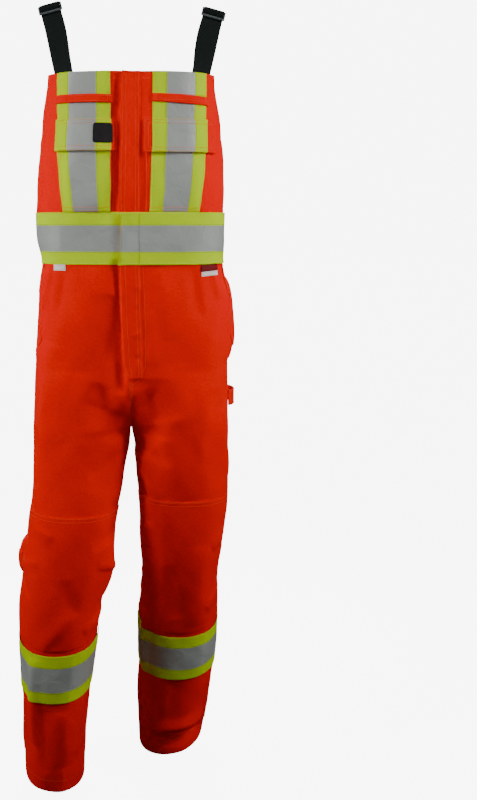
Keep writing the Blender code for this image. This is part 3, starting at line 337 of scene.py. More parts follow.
# Smaller creases: share, row, to share, to row, width, height, lean. A positive lean
# makes the crease steeper on one side, a negative one on the other.
creaseTable = {
    "front": (
        # bib and waist
        (-0.075, -0.3, -0.11, -0.392, 0.012, 0.0016, 0.3),
        (-0.24, -0.292, -0.215, -0.396, 0.014, 0.0018, -0.3),
        (0.085, -0.296, 0.12, -0.39, 0.012, 0.0015, 0.2),
        (0.25, -0.3, 0.228, -0.392, 0.015, 0.0019, 0.3),
        (-0.405, -0.25, -0.38, -0.395, 0.014, 0.0026, 0.4),
        (-0.44, -0.31, -0.43, -0.392, 0.009, -0.0022, 0.2),
        (0.42, -0.255, 0.395, -0.395, 0.014, 0.0024, -0.3),
        (0.455, -0.32, 0.44, -0.394, 0.009, -0.002, 0.1),
        # below the waist
        (-0.15, -0.505, -0.17, -0.64, 0.017, 0.0026, 0.3),
        (-0.265, -0.503, -0.29, -0.6, 0.012, -0.0022, -0.2),
        (-0.345, -0.503, -0.372, -0.59, 0.013, 0.003, 0.3),
        (0.12, -0.505, 0.135, -0.65, 0.016, 0.0024, -0.3),
        (0.235, -0.503, 0.262, -0.61, 0.013, -0.0024, 0.2),
        (0.33, -0.503, 0.362, -0.57, 0.012, 0.0028, -0.3),
        (0.395, -0.503, 0.43, -0.56, 0.011, -0.0026, 0.3),
        (-0.06, -0.56, -0.075, -0.7, 0.015, -0.002, 0.2),
        (0.075, -0.59, 0.09, -0.7, 0.013, 0.0018, 0.2),
        # hip pocket openings
        (-0.384, -0.506, -0.392, -0.668, 0.006, -0.0065, 0.3),
        (0.447, -0.506, 0.452, -0.668, 0.006, -0.005, 0.3),
        # puckers across the fly
        (0.01, -0.545, 0.034, -0.541, 0.004, 0.0016, 0.3),
        (0.006, -0.585, 0.036, -0.592, 0.004, -0.0014, 0.3),
        (0.004, -0.64, 0.038, -0.634, 0.004, 0.0016, 0.3),
        (0.008, -0.682, 0.04, -0.69, 0.004, -0.0014, 0.3),
        # hollow beside the storm flap's free edge
        (-0.047, -0.14, -0.054, -0.4, 0.0075, -0.0062, 0.3),
        (-0.08, -0.17, -0.086, -0.42, 0.016, -0.004, 0.0),
        (-0.05, -0.49, -0.028, -0.76, 0.008, -0.0095, 0.3),
        (-0.078, -0.56, -0.1, -0.85, 0.026, -0.011, 0.0),
        (0.085, -0.73, 0.075, -0.9, 0.034, -0.007, 0.0),
        # crotch, fanning out from the fork
        (-0.012, -0.79, -0.11, -0.742, 0.009, 0.0016, 0.5),
        (-0.014, -0.815, -0.18, -0.778, 0.01, -0.0012, -0.4),
        (-0.012, -0.838, -0.225, -0.842, 0.011, 0.0016, 0.4),
        (-0.016, -0.862, -0.21, -0.93, 0.012, -0.0022, 0.3),
        (0.012, -0.8, 0.105, -0.752, 0.008, -0.001, 0.4),
        (0.014, -0.842, 0.24, -0.8, 0.01, 0.0014, 0.5),
        (0.012, -0.868, 0.215, -0.905, 0.011, -0.003, -0.4),
        (0.02, -0.885, 0.17, -0.985, 0.013, 0.0028, 0.3),
        # thighs
        (-0.25, -0.7, -0.3, -0.86, 0.02, 0.003, 0.3),
        (-0.375, -0.76, -0.44, -0.9, 0.017, -0.0032, 0.2),
        (-0.055, -0.9, -0.085, -1.0, 0.014, 0.0026, 0.3),
        (0.255, -0.74, 0.315, -0.9, 0.018, 0.003, -0.3),
        (0.4, -0.79, 0.44, -0.95, 0.016, 0.003, 0.3),
        (0.07, -0.93, 0.105, -1.0, 0.012, -0.0024, 0.2),
        # knees and shins
        (-0.4, -1.03, -0.3, -1.052, 0.012, 0.003, 0.4),
        (-0.445, -1.12, -0.34, -1.1, 0.01, 0.0036, 0.4),
        (-0.44, -1.15, -0.36, -1.17, 0.01, -0.0034, -0.3),
        (-0.06, -1.05, -0.17, -1.075, 0.012, -0.0028, 0.3),
        (-0.03, -1.13, -0.15, -1.11, 0.01, 0.0034, 0.4),
        (-0.035, -1.215, -0.16, -1.235, 0.012, 0.0036, -0.4),
        (-0.2, -1.19, -0.3, -1.262, 0.014, 0.003, 0.3),
        (-0.25, -1.13, -0.21, -1.2, 0.016, -0.0026, 0.2),
        (0.05, -1.03, 0.15, -1.05, 0.012, 0.003, 0.4),
        (0.035, -1.11, 0.14, -1.09, 0.011, -0.0032, 0.3),
        (0.03, -1.16, 0.16, -1.19, 0.012, 0.0036, -0.4),
        (0.2, -1.12, 0.24, -1.23, 0.016, -0.0028, 0.3),
        (0.42, -1.06, 0.35, -1.09, 0.011, 0.003, 0.3),
        (0.43, -1.18, 0.33, -1.215, 0.012, 0.0032, -0.3),
        (-0.13, -1.385, -0.16, -1.52, 0.016, 0.003, 0.3),
        (-0.29, -1.395, -0.27, -1.56, 0.014, -0.003, -0.3),
        (-0.4, -1.39, -0.42, -1.54, 0.015, 0.0032, 0.3),
        (-0.05, -1.4, -0.07, -1.56, 0.014, -0.0028, 0.2),
        (0.12, -1.39, 0.15, -1.5, 0.014, 0.003, 0.3),
        (0.24, -1.39, 0.23, -1.5, 0.013, -0.0028, -0.3),
        (0.4, -1.395, 0.42, -1.52, 0.015, 0.003, 0.3),
        (0.05, -1.42, 0.06, -1.56, 0.013, 0.0026, 0.2),
    ),
    "back": (
        # above the cross
        (-0.105, -0.19, 0.02, -0.186, 0.01, 0.0022, 0.4),
        (0.06, -0.176, 0.19, -0.17, 0.011, 0.002, -0.4),
        (-0.04, -0.214, 0.085, -0.22, 0.01, -0.0018, 0.3),
        (-0.02, -0.43, 0.015, -0.56, 0.012, 0.0016, 0.2),
        # gathers below the elastic at both sides
        (0.245, -0.504, 0.232, -0.58, 0.007, 0.003, 0.3),
        (0.262, -0.504, 0.258, -0.61, 0.007, -0.0028, 0.2),
        (0.281, -0.504, 0.285, -0.64, 0.008, 0.0034, 0.4),
        (0.3, -0.504, 0.309, -0.6, 0.007, -0.0028, 0.2),
        (0.32, -0.504, 0.333, -0.625, 0.008, 0.0032, -0.3),
        (-0.238, -0.505, -0.225, -0.59, 0.007, 0.003, 0.3),
        (-0.256, -0.505, -0.25, -0.62, 0.008, -0.003, 0.2),
        (-0.274, -0.505, -0.276, -0.6, 0.007, 0.0032, 0.3),
        (-0.292, -0.505, -0.3, -0.65, 0.008, -0.0026, -0.2),
        (-0.314, -0.505, -0.33, -0.61, 0.008, 0.0034, 0.3),
        # seat
        (0.11, -0.762, 0.3, -0.742, 0.007, -0.003, 0.3),
        (0.02, -0.7, 0.07, -0.765, 0.01, 0.0034, 0.4),
        (-0.02, -0.705, -0.085, -0.77, 0.01, 0.0034, -0.4),
        (-0.03, -0.775, -0.19, -0.8, 0.011, 0.0036, 0.4),
        (-0.018, -0.842, -0.16, -0.905, 0.012, -0.0036, -0.3),
        (0.02, -0.86, 0.15, -0.93, 0.012, 0.0034, 0.4),
        (0.24, -0.815, 0.33, -0.84, 0.01, 0.0026, 0.3),
        (-0.23, -0.8, -0.33, -0.815, 0.011, 0.0026, -0.3),
        (-0.12, -0.6, -0.15, -0.72, 0.013, 0.002, 0.2),
        (0.12, -0.59, 0.14, -0.7, 0.013, 0.0018, 0.2),
        # thighs
        (-0.17, -0.9, -0.25, -1.04, 0.017, 0.0036, 0.3),
        (-0.1, -0.94, -0.13, -1.06, 0.014, -0.0032, 0.2),
        (0.1, -0.93, 0.15, -1.03, 0.015, 0.0034, -0.3),
        (0.21, -0.88, 0.26, -1.01, 0.016, -0.003, 0.3),
        # behind the knees
        (0.3, -1.055, 0.185, -1.048, 0.007, 0.0034, 0.4),
        (0.245, -1.085, 0.12, -1.078, 0.007, -0.0034, -0.3),
        (0.235, -1.117, 0.1, -1.15, 0.008, 0.004, 0.5),
        (0.275, -1.15, 0.2, -1.2, 0.008, -0.0036, 0.3),
        (0.33, -1.18, 0.25, -1.232, 0.009, 0.004, -0.4),
        (0.14, -1.2, 0.04, -1.235, 0.009, 0.0036, 0.4),
        (0.12, -1.04, 0.03, -1.09, 0.01, 0.0034, 0.3),
        (-0.16, -1.06, -0.29, -1.098, 0.008, 0.0038, 0.5),
        (-0.12, -1.09, -0.23, -1.16, 0.008, -0.0036, -0.3),
        (-0.26, -1.185, -0.36, -1.14, 0.009, 0.0038, 0.4),
        (-0.18, -1.215, -0.27, -1.24, 0.009, 0.004, 0.4),
        (-0.09, -1.15, -0.15, -1.245, 0.011, 0.0034, -0.3),
        (-0.05, -1.03, -0.11, -1.08, 0.01, -0.0032, 0.3),
        # shins
        (0.18, -1.39, 0.26, -1.47, 0.013, 0.004, 0.4),
        (0.12, -1.4, 0.18, -1.53, 0.014, -0.0036, 0.2),
        (0.33, -1.39, 0.25, -1.43, 0.01, 0.0036, -0.3),
        (0.07, -1.4, 0.08, -1.56, 0.013, 0.003, 0.2),
        (-0.14, -1.385, -0.23, -1.45, 0.013, 0.0042, 0.4),
        (-0.3, -1.4, -0.2, -1.47, 0.012, -0.0036, 0.3),
        (-0.19, -1.48, -0.29, -1.5, 0.011, 0.0034, 0.3),
        (-0.09, -1.4, -0.11, -1.56, 0.013, -0.003, 0.2),
        (-0.34, -1.43, -0.35, -1.56, 0.014, 0.003, 0.3),
    ),
}


def aroundOf(half, share):
    return np.abs(share) if half == "front" else 1 - np.abs(share)


def creaseLines():
    # each fold and crease as a line of points on the smooth body
    lines = []
    for table in (foldTable, creaseTable):
        for half, rows in table.items():
            for share, row, toShare, toRow, width, height, *lean in rows:
                side = "left" if share + toShare > 0 else "right"
                shares = np.clip(np.linspace(share, toShare, 7) * sideSign[side], 0, None)
                line = bodyPoint(side, aroundOf(half, shares), np.linspace(row, toRow, 7))
                lines.append((side, line, width, height, lean[0] if lean else 0.0))
    return lines


allCreases = creaseLines()
# A slow unevenness all over the cloth: direction and length of each wave, and its height
waveTable = (
    # x, y, z waves in a metre, height
    (5.1, 3.3, 2.2, 0.0007),
    (-3.7, 6.1, 4.3, 0.0006),
    (8.3, -4.9, 6.7, 0.0005),
    (2.9, 9.1, -8.2, 0.0004),
    (-12.7, 5.3, 10.9, 0.0003),
    (14.9, 11.3, -7.1, 0.00025),
    (21.0, -9.0, 17.0, 0.00018),
)

creaseGain = 1.6  # small creases are drawn a little deeper than cloth this stiff makes them
smallCrease = 0.0165


def creaseLift(side, points, facing):
    # how far folds, creases and unevenness move these points out of the smooth body
    total = np.zeros(len(points))
    for x, y, z, height in waveTable:
        wave = points @ (2 * math.pi * np.array((x, y, z)))
        total += height * np.sin(wave + 3 * x)
    for foldSide, line, width, height, lean in allCreases:
        reach = 3.2 * width
        near = np.all((points > line.min(0) - reach) & (points < line.max(0) + reach), axis=1)
        if foldSide != side:
            near &= points[:, 2] > forkTop
        where = np.flatnonzero(near)
        if not len(where):
            continue
        some, out = points[where], facing[where]
        best = np.full(len(some), np.inf)
        along, beside = np.zeros(len(some)), np.zeros(len(some))
        for k in range(len(line) - 1):
            run = line[k + 1] - line[k]
            t = np.clip((some - line[k]) @ run / (run @ run), 0.0, 1.0)
            gap = some - line[k] - t[:, None] * run
            length = np.linalg.norm(gap, axis=1)
            nearer = length < best
            best = np.where(nearer, length, best)
            along = np.where(nearer, (k + t) / (len(line) - 1), along)
            turn = np.einsum("ij,ij->i", np.cross(gap, run), out)
            beside = np.where(nearer, turn / np.linalg.norm(run) / width, beside)
        taper = np.clip(4 * along * (1 - along), 0.0, 1.0) ** 0.5
        steep = 1 + lean * np.tanh(1.5 * beside)
        crest = height * (creaseGain if width < smallCrease else 1.0)
        total[where] += crest * taper * np.exp(-((best / width / steep) ** 2))
    return total


surfaceSettings = {
    "shares": 133,
    "rows": 601,
    "top": -0.105,
    "foot": -1.625,
}
gridShares = np.linspace(0.0, 0.5, surfaceSettings["shares"])
gridRows = np.linspace(surfaceSettings["top"], surfaceSettings["foot"], surfaceSettings["rows"])


def facingOf(points, turn):
    facing = np.cross(np.gradient(points, axis=1), np.gradient(points, axis=0)) * turn
    return facing / np.maximum(np.linalg.norm(facing, axis=2, keepdims=True), 1e-12)


def buildSurface():
    # the creased surface of each quarter of the body, and the length of its rows
    places, facings, lengths = {}, {}, {}
    shares, rows = np.meshgrid(gridShares, gridRows)
    for side, sign in sideSign.items():
        for half in ("front", "back"):
            turn = -sign if half == "front" else sign
            smooth = bodyPoint(side, aroundOf(half, shares.ravel()), rows.ravel())
            grid = smooth.reshape(shares.shape + (3,))
            lengths[side, half] = np.linalg.norm(np.diff(grid, axis=1), axis=2).sum(axis=1)
            facing = facingOf(grid, turn).reshape(-1, 3)
            moved = smooth + facing * creaseLift(side, smooth, facing)[:, None]
            moved = moved.reshape(grid.shape)
            moved[:, 0, 0] = np.where(gridRows > crotch, 0.0, grid[:, 0, 0])
            places[side, half] = moved
            facings[side, half] = facingOf(moved, turn)
    joined = gridRows < forkTop
    for side in sideSign:
        pair = facings[side, "front"], facings[side, "back"]
        blend = pair[0][:, -1] + pair[1][:, -1]
        blend /= np.linalg.norm(blend, axis=1, keepdims=True)
        pair[0][:, -1] = pair[1][:, -1] = blend
        for one in pair:  # at the middle seam the two halves face the same way
            one[~joined, 0, 0] = 0.0
            one[:, 0] /= np.linalg.norm(one[:, 0], axis=1, keepdims=True)
    return places, facings, lengths


surfacePlaces, surfaceFacings, rowLengths = buildSurface()
print("body: surface built with", len(allCreases), "folds and creases")


def onSurface(half, share, row):
    # place and outward direction for arrays of signed shares and rows
    place, facing = np.zeros(share.shape + (3,)), np.zeros(share.shape + (3,))
    column = np.abs(share) / gridShares[1]
    line = (gridRows[0] - row) / (gridRows[0] - gridRows[1])
    column = np.clip(column, 0, len(gridShares) - 1.000001)
    line = np.clip(line, 0, len(gridRows) - 1.000001)
    i, j = column.astype(int), line.astype(int)
    u, v = (column - i)[..., None], (line - j)[..., None]
    for side, mask in (("right", share < 0), ("left", share >= 0)):
        a, b, s, t = i[mask], j[mask], u[mask], v[mask]
        for target, source in ((place, surfacePlaces), (facing, surfaceFacings)):
            grid = source[side, half]
            target[mask] = (
                grid[b, a] * (1 - s) * (1 - t)
                + grid[b, a + 1] * s * (1 - t)
                + grid[b + 1, a] * (1 - s) * t
                + grid[b + 1, a + 1] * s * t
            )
    facing /= np.linalg.norm(facing, axis=-1, keepdims=True)
    return place, facing


def lengthAt(half, sign, row):
    # cloth from the middle of a sheet to its side seam at some rows
    side = "left" if sign > 0 else "right"
    return np.interp(-np.asarray(row), -gridRows, rowLengths[side, half])


def lengthsAt(half, across, row):
    # the same for places on both sides of the middle
    return np.where(np.asarray(across) < 0, lengthAt(half, -1, row), lengthAt(half, 1, row))


def sharesOf(half, across, row):
    return 0.5 * across / lengthsAt(half, across, row)


def acrossAt(half, side, share, row):
    return sideSign[side] * 2 * share * lengthAt(half, sideSign[side], row)


def metresOf(half, share, row):
    # the cut's own coordinates: across from the middle, and down
    return np.stack([2 * share * lengthsAt(half, share, row), row], axis=-1)


# Layers above the body
onBody = seam
onTape = onBody + tapeThickness + seam
onCloth = onBody + clothThickness + seam
onPocketTape = onCloth + tapeThickness + seam
onFlap = onPocketTape + clothThickness + seam
onFlapTape = onFlap + tapeThickness + seam


def linear(code):
    # an sRGB hex colour as linear light
    values = [int(code[k : k + 2], 16) / 255 for k in (1, 3, 5)]
    return [c / 12.92 if c <= 0.04045 else ((c + 0.055) / 1.055) ** 2.4 for c in values] + [1.0]


def addNode(material, kind, inputs=(), **settings):
    # one node: its settings, then its inputs as constants or as (node, output) links
    tree = material.node_tree
    node = tree.nodes.new(kind)
    for name, value in settings.items():
        setattr(node, name, value)
    for name, value in dict(inputs).items():
        if isinstance(value, tuple) and isinstance(value[0], bpy.types.Node):
            tree.links.new(value[0].outputs[value[1]], node.inputs[name])
        else:
            node.inputs[name].default_value = value
    return node


def join(node, output, target, name):
    node.id_data.links.new(node.outputs[output], target.inputs[name])


def newMaterial(name, colour, roughness, sheen=0.0, sheenTint="#FFFFFF", ior=1.5, gloss=0.5):
    material = bpy.data.materials.new(name)
    material.use_nodes = True
    shader = material.node_tree.nodes["Principled BSDF"]
    shader.inputs["Base Color"].default_value = linear(colour)
    shader.inputs["Roughness"].default_value = roughness
    shader.inputs["IOR"].default_value = ior
    shader.inputs["Specular IOR Level"].default_value = gloss
    shader.inputs["Metallic"].default_value = 0.0
    shader.inputs["Sheen Weight"].default_value = sheen
    shader.inputs["Sheen Roughness"].default_value = 0.5
    shader.inputs["Sheen Tint"].default_value = linear(sheenTint)
    return material, shader


def cutCoordinates(material, scale, turn=0.0):
    # the cloth's own flat coordinates in metres, turned and scaled to the pattern's repeats
    place = addNode(material, "ShaderNodeUVMap", uv_map="cut")
    inputs = {"Vector": (place, "UV"), "Rotation": (0.0, 0.0, turn), "Scale": (scale, scale, scale)}
    return addNode(material, "ShaderNodeMapping", inputs)


waveUnit = math.pi / 10  # at this scale the wave texture has one wave to the unit


def weaveBump(material, shader, period, turn, depth, strength, patches):
    # raised threads of a weave, one to the period, a little uneven in so many patches to the metre
    threads = cutCoordinates(material, 1 / period, turn)
    wave = {"Vector": (threads, "Vector"), "Scale": waveUnit, "Distortion": 0.8, "Detail": 1.0,
            "Detail Scale": 0.6}
    lines = addNode(material, "ShaderNodeTexWave", wave, bands_direction="X")
    place = cutCoordinates(material, patches)
    slub = addNode(material, "ShaderNodeTexNoise", {"Vector": (place, "Vector"), "Scale": 1.0, "Detail": 3.0})
    both = addNode(material, "ShaderNodeMath", {0: (lines, "Fac"), 1: (slub, "Fac")}, operation="ADD")
    relief = {"Height": (both, "Value"), "Distance": depth, "Strength": strength}
    join(addNode(material, "ShaderNodeBump", relief), "Normal", shader, "Normal")
    return slub


def mottle(material, shader, noise, dark, light):
    # the colour varies a little between two shades
    ramp = addNode(material, "ShaderNodeValToRGB", {"Fac": (noise, "Fac")})
    for stop, position, shade in zip(ramp.color_ramp.elements, (0.3, 0.7), (dark, light)):
        stop.position = position
        stop.color = linear(shade)
    join(ramp, "Color", shader, "Base Color")


def makeOrangeTwill():
    # Cotton twill, piece-dyed high-visibility orange and washed: matte, with a soft bloom at the
    # edges, and slanted lines 0.9 mm apart
    material, shader = newMaterial("dyedCottonTwill", "#F80600", 0.90, 0.02, "#FF3A10", gloss=0.06)
    slub = weaveBump(material, shader, 0.00088, math.radians(63), 0.00018, 0.55, 220.0)
    mottle(material, shader, slub, "#F20300", "#FC0A00")
    return material


def makeYellowTape():
    # Fluorescent polyester tricot: a strong flat yellow-green without gloss, with faint fine ribs
    # along the tape every 0.75 mm
    material, shader = newMaterial("fluorescentTricot", "#C2E400", 0.80, gloss=0.0)
    slub = weaveBump(material, shader, 0.000754, 0.0, 0.00010, 0.35, 300.0)
    mottle(material, shader, slub, "#BCDE00", "#C6E800")
    return material


def makeSilverTape():
    # Glass-bead retroreflective transfer film: flat silver grey, finely grained by the beads, with
    # a soft gloss that breaks where the film has creased every few centimetres
    material, shader = newMaterial("glassBeadFilm", "#9CA09C", 0.42, gloss=0.35)
    place = cutCoordinates(material, 900.0)
    beads = {"Vector": (place, "Vector"), "Scale": 1.0, "Detail": 2.0}
    mottle(material, shader, addNode(material, "ShaderNodeTexNoise", beads), "#979B97", "#A1A5A1")
    place = cutCoordinates(material, 38.0)
    creases = {"Vector": (place, "Vector"), "Scale": 1.0, "Detail": 2.5, "Distortion": 0.6}
    crumple = addNode(material, "ShaderNodeTexNoise", creases)
    relief = {"Height": (crumple, "Fac"), "Distance": 0.004, "Strength": 0.55}
    join(addNode(material, "ShaderNodeBump", relief), "Normal", shader, "Normal")
    return material


def makeWebbing():
    # Woven polypropylene webbing: near black with a green cast, matte, ribs across it every 0.9 mm
    material, shader = newMaterial("wovenWebbing", "#121A18", 0.85, 0.05, "#5A6A66", gloss=0.2)
    weaveBump(material, shader, 0.000942, math.pi / 2, 0.00035, 0.8, 400.0)
    return material


def grain(material, shader, scale, dark, light, depth):
    # fine unevenness in a piece's own space, where there is no cut to follow
    place = addNode(material, "ShaderNodeTexCoord")
    inputs = {"Vector": (place, "Object"), "Scale": scale, "Detail": 3.0}
    noise = addNode(material, "ShaderNodeTexNoise", inputs)
    mottle(material, shader, noise, dark, light)
    bump = addNode(material, "ShaderNodeBump", {"Height": (noise, "Fac"), "Distance": depth})
    join(bump, "Normal", shader, "Normal")


def makeSliderPlastic():
    # Moulded acetal, satin from the etched mould, grey where it catches the light
    material, shader = newMaterial("mouldedAcetal", "#5A5F62", 0.32, ior=1.48)
    grain(material, shader, 1500.0, "#54595C", "#62676A", 0.00005)
    return material


def makeLabel(name, dark, light):
    # Damask-woven polyester label left blank: a smooth face with fine ribs across it every 0.4 mm
    material, shader = newMaterial(name, light, 0.70, gloss=0.2)
    slub = weaveBump(material, shader, 0.00044, 0.0, 0.00008, 0.4, 500.0)
    mottle(material, shader, slub, dark, light)
    return material


def makeZipTape():
    # Woven polyester zip tape: black and matte, with fine ribs along it every 0.6 mm
    material, shader = newMaterial("zipPolyester", "#0D0D0E", 0.70, 0.1, "#303030")
    weaveBump(material, shader, 0.000628, 0.0, 0.00015, 0.5, 400.0)
    return material


def makeZipTooth():
    # Moulded acetal teeth, black and satin, so they catch small lights along the zip
    material, shader = newMaterial("mouldedZipTooth", "#18181A", 0.32, ior=1.48)
    grain(material, shader, 1200.0, "#151517", "#1C1C1E", 0.00005)
    return material


def makeThread(name, dark, light):
    # Spun polyester sewing thread, slightly glossy, its plies catching the light unevenly
    material, shader = newMaterial(name, light, 0.60, gloss=0.2)
    grain(material, shader, 900.0, dark, light, 0.0001)
    return material


materials = {
    "orange": makeOrangeTwill(),
    "yellow": makeYellowTape(),
    "silver": makeSilverTape(),
    "webbing": makeWebbing(),
    "slider": makeSliderPlastic(),
    "zip": makeZipTape(),
    "zipTooth": makeZipTooth(),
    "whiteTag": makeLabel("damaskLabelWhite", "#ECE9E2", "#F6F3EC"),
    "redTag": makeLabel("damaskLabelRed", "#700810", "#7E0C14"),
    "patch": makeLabel("damaskPatchCharcoal", "#171415", "#1F1B1C"),
    "orangeThread": makeThread("spunThreadOrange", "#FF4A20", "#FF6A3A"),
    "yellowThread": makeThread("spunThreadYellow", "#CDD860", "#DDE878"),
    "greyThread": makeThread("spunThreadGrey", "#6A6F5C", "#7A8068"),
    "darkThread": makeThread("spunThreadDark", "#121A18", "#1E2826"),
}
print("materials: made", len(materials))


def fillMesh(name, points, faces):
    # a mesh from an array of points and an array of faces with the same number of corners
    mesh = bpy.data.meshes.new(name)
    mesh.vertices.add(len(points))
    mesh.vertices.foreach_set("co", np.ascontiguousarray(points, dtype=np.float32).ravel())
    mesh.loops.add(faces.size)
    mesh.loops.foreach_set("vertex_index", faces.ravel().astype(np.int32))
    mesh.polygons.add(len(faces))
    mesh.polygons.foreach_set("loop_start", np.arange(0, faces.size, faces.shape[1], dtype=np.int32))
    mesh.update(calc_edges=True)
    return mesh


def addPiece(name, mesh):
    piece = bpy.data.objects.new(name, mesh)
    bpy.context.scene.collection.objects.link(piece)
    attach(piece, "root")
    return piece


def shellQuads(wide, tall, turned):
    # faces of a shell: outer grid, inner grid, and a rounded rim between them
    index = np.arange(wide * tall).reshape(tall, wide)
    corners = (index[:-1, :-1], index[1:, :-1], index[1:, 1:], index[:-1, 1:])
    outer = np.stack(corners, axis=-1).reshape(-1, 4)
    ring = np.concatenate([index[0, :-1], index[:-1, -1], index[-1, :0:-1], index[:0:-1, 0]])
    middle = 2 * wide * tall + np.arange(len(ring))
    after, middleAfter = np.roll(ring, -1), np.roll(middle, -1)
    upperRim = np.stack([ring, after, middleAfter, middle], axis=-1)
    lowerRim = np.stack([middle, middleAfter, after + wide * tall, ring + wide * tall], axis=-1)
    quads = np.concatenate([outer, outer[:, ::-1] + wide * tall, upperRim, lowerRim])
    return (quads[:, ::-1] if turned else quads), ring


rimBulge = 0.4  # how far a rim's middle stands out, as a share of the thickness


def cutShell(name, outer, inner, uv, finishes, finishOf=None):
    # a closed thin shell between two grids of points, its edges turned like a folded edge
    tall, wide = outer.shape[:2]
    normal = np.cross(outer[1:, :-1] - outer[:-1, :-1], outer[:-1, 1:] - outer[:-1, :-1])
    turned = float((normal * (outer - inner)[:-1, :-1]).sum()) < 0
    quads, ring = shellQuads(wide, tall, turned)
    flat, under = outer.reshape(-1, 3), inner.reshape(-1, 3)
    row, column = np.divmod(ring, wide)
    out = flat[ring] - flat[np.clip(row, 1, tall - 2) * wide + np.clip(column, 1, wide - 2)]
    out /= np.maximum(np.linalg.norm(out, axis=1, keepdims=True), 1e-9)
    thickness = np.linalg.norm(flat[ring] - under[ring], axis=1, keepdims=True)
    middle = (flat[ring] + under[ring]) / 2 + out * thickness * rimBulge
    mesh = fillMesh(name, np.concatenate([flat, under, middle]), quads)
    flatUv = uv.reshape(-1, 2)
    uvs = np.concatenate([flatUv, flatUv, flatUv[ring]])
    layer = mesh.uv_layers.new(name="cut")
    layer.data.foreach_set("uv", uvs[quads.ravel()].astype(np.float32).ravel())
    mesh.shade_smooth()
    for finish in finishes:
        mesh.materials.append(materials[finish])
    if finishOf is not None:
        rim = np.zeros(2 * len(ring), int)
        faces = np.concatenate([finishOf.ravel(), finishOf.ravel(), rim])
        mesh.polygons.foreach_set("material_index", faces.astype(np.int32))
    return addPiece(f"{name}_sewn", mesh)


smallestFlat = 0.0105  # the lowest tag is cut this tall, and its upper edge is under the next one


def clothPiece(name, half, share, row, lift, thickness, finishes=("orange",), finishOf=None, swell=0.0):
    # a cloth piece on the body: its grid in shares and rows, and how far above the body it lies
    place, facing = onSurface(half, share, row)
    rise = np.broadcast_to(lift + swell, share.shape)[..., None]
    outer, inner = place + facing * (rise + thickness), place + facing * rise
    uv = metresOf(half, share, row)
    piece = cutShell(name, outer, inner, uv, finishes, finishOf)
    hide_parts(name)
    steps = np.linalg.norm(np.diff(uv, axis=1), axis=2).sum(axis=1)
    drops = np.linalg.norm(np.diff(uv, axis=0), axis=2).sum(axis=0)
    first, second = uv[1:, :-1] - uv[:-1, 1:], uv[1:, 1:] - uv[:-1, :-1]
    area = abs(first[..., 0] * second[..., 1] - first[..., 1] * second[..., 0]).sum() / 2
    width, length = (max(round(float(size), 4), smallestFlat) for size in (steps.max(), drops.max()))
    area = min(float(area), width * length)


gridStep = 0.004
fineStep = 0.003
endStep = 0.0012


def cutSteps(length, step=gridStep, striped=False):
    # shares of a length in even steps, with a short one at each end and the stripe's edges
    ends = min(endStep / length, 0.1)
    if not striped:
        middle = np.linspace(ends, 1 - ends, max(2, math.ceil(length / step)) + 1)
        return np.concatenate([[0.0], middle, [1.0]])
    quarter = max(2, math.ceil(length / 4 / step))
    first = np.linspace(ends, 0.25, quarter + 1)
    middle = np.linspace(0.25, 0.75, 2 * quarter + 1)[1:-1]
    return np.concatenate([[0.0], first, middle, 1 - first[::-1], [1.0]])


def silverSteps(steps):
    # 1 for the steps on the tape's silver stripe, 0 for the others
    middle = (steps[1:] + steps[:-1]) / 2
    return (abs(middle - 0.5) < 0.25).astype(int)


def bandGrid(half, upper, lower, step, striped):
    # shares and rows of a strip between two matched lines of corners
    upper, lower = np.array(upper, float), np.array(lower, float)
    spans = sum(np.hypot(*np.diff(edge, axis=0).T) for edge in (upper, lower))
    total = sum(spans)
    knots = np.concatenate([[0.0], np.cumsum(spans)]) / total
    columns = np.concatenate([cutSteps(total / 2, step, striped), knots])
    columns = np.unique(np.round(columns, 7))
    columns = columns[np.concatenate([[True], np.diff(columns) > 1e-4])]
    rows = cutSteps(float(np.hypot(*(upper - lower).T).max()), step)
    fromShare, toShare = (np.interp(columns, knots, sharesOf(half, *edge.T)) for edge in (upper, lower))
    fromRow, toRow = (np.interp(columns, knots, edge[:, 1]) for edge in (upper, lower))
    share = fromShare + (toShare - fromShare) * rows[:, None]
    row = fromRow + (toRow - fromRow) * rows[:, None]
    finishOf = np.repeat(silverSteps(columns)[None], len(rows) - 1, axis=0) if striped else None
    return share, row, finishOf


def layBand(name, half, upper, lower, start, finish="orange", thickness=clothThickness, striped=False,
            step=gridStep, swell=None):
    share, row, finishOf = bandGrid(half, upper, lower, step, striped)
    rise = 0.0 if swell is None else swell(metresOf(half, share, row)[..., 0], row)
    finishes = ("yellow", "silver") if striped else (finish,)
    clothPiece(name, half, share, row, start, thickness, finishes, finishOf, rise)


# Stitches are collected here as rows of places and outward directions, one list for each thread
stitchLines = {"orangeThread": [], "yellowThread": [], "greyThread": [], "darkThread": []}
sewStep = 0.0016  # between the points that measure a row of stitches
edgeInset = 0.0022
seamInsets = (edgeInset, 0.0085)  # the two rows of a felled seam
besideSilver = 0.0016


def sew(half, points, lift=0.0, thread="orangeThread", swell=None):
    # a row of stitches through (across, row) corners, at a height above the body
    points = np.array(points, float)
    run = np.concatenate([[0.0], np.cumsum(np.hypot(*np.diff(points, axis=0).T))])
    at = np.linspace(0, run[-1], max(2, int(run[-1] / sewStep)))
    across, row = np.interp(at, run, points[:, 0]), np.interp(at, run, points[:, 1])
    place, facing = onSurface(half, sharesOf(half, across, row), row)
    rise = lift if swell is None else lift + swell(across, row)
    stitchLines[thread].append((place + facing * np.broadcast_to(rise, row.shape)[:, None], facing))


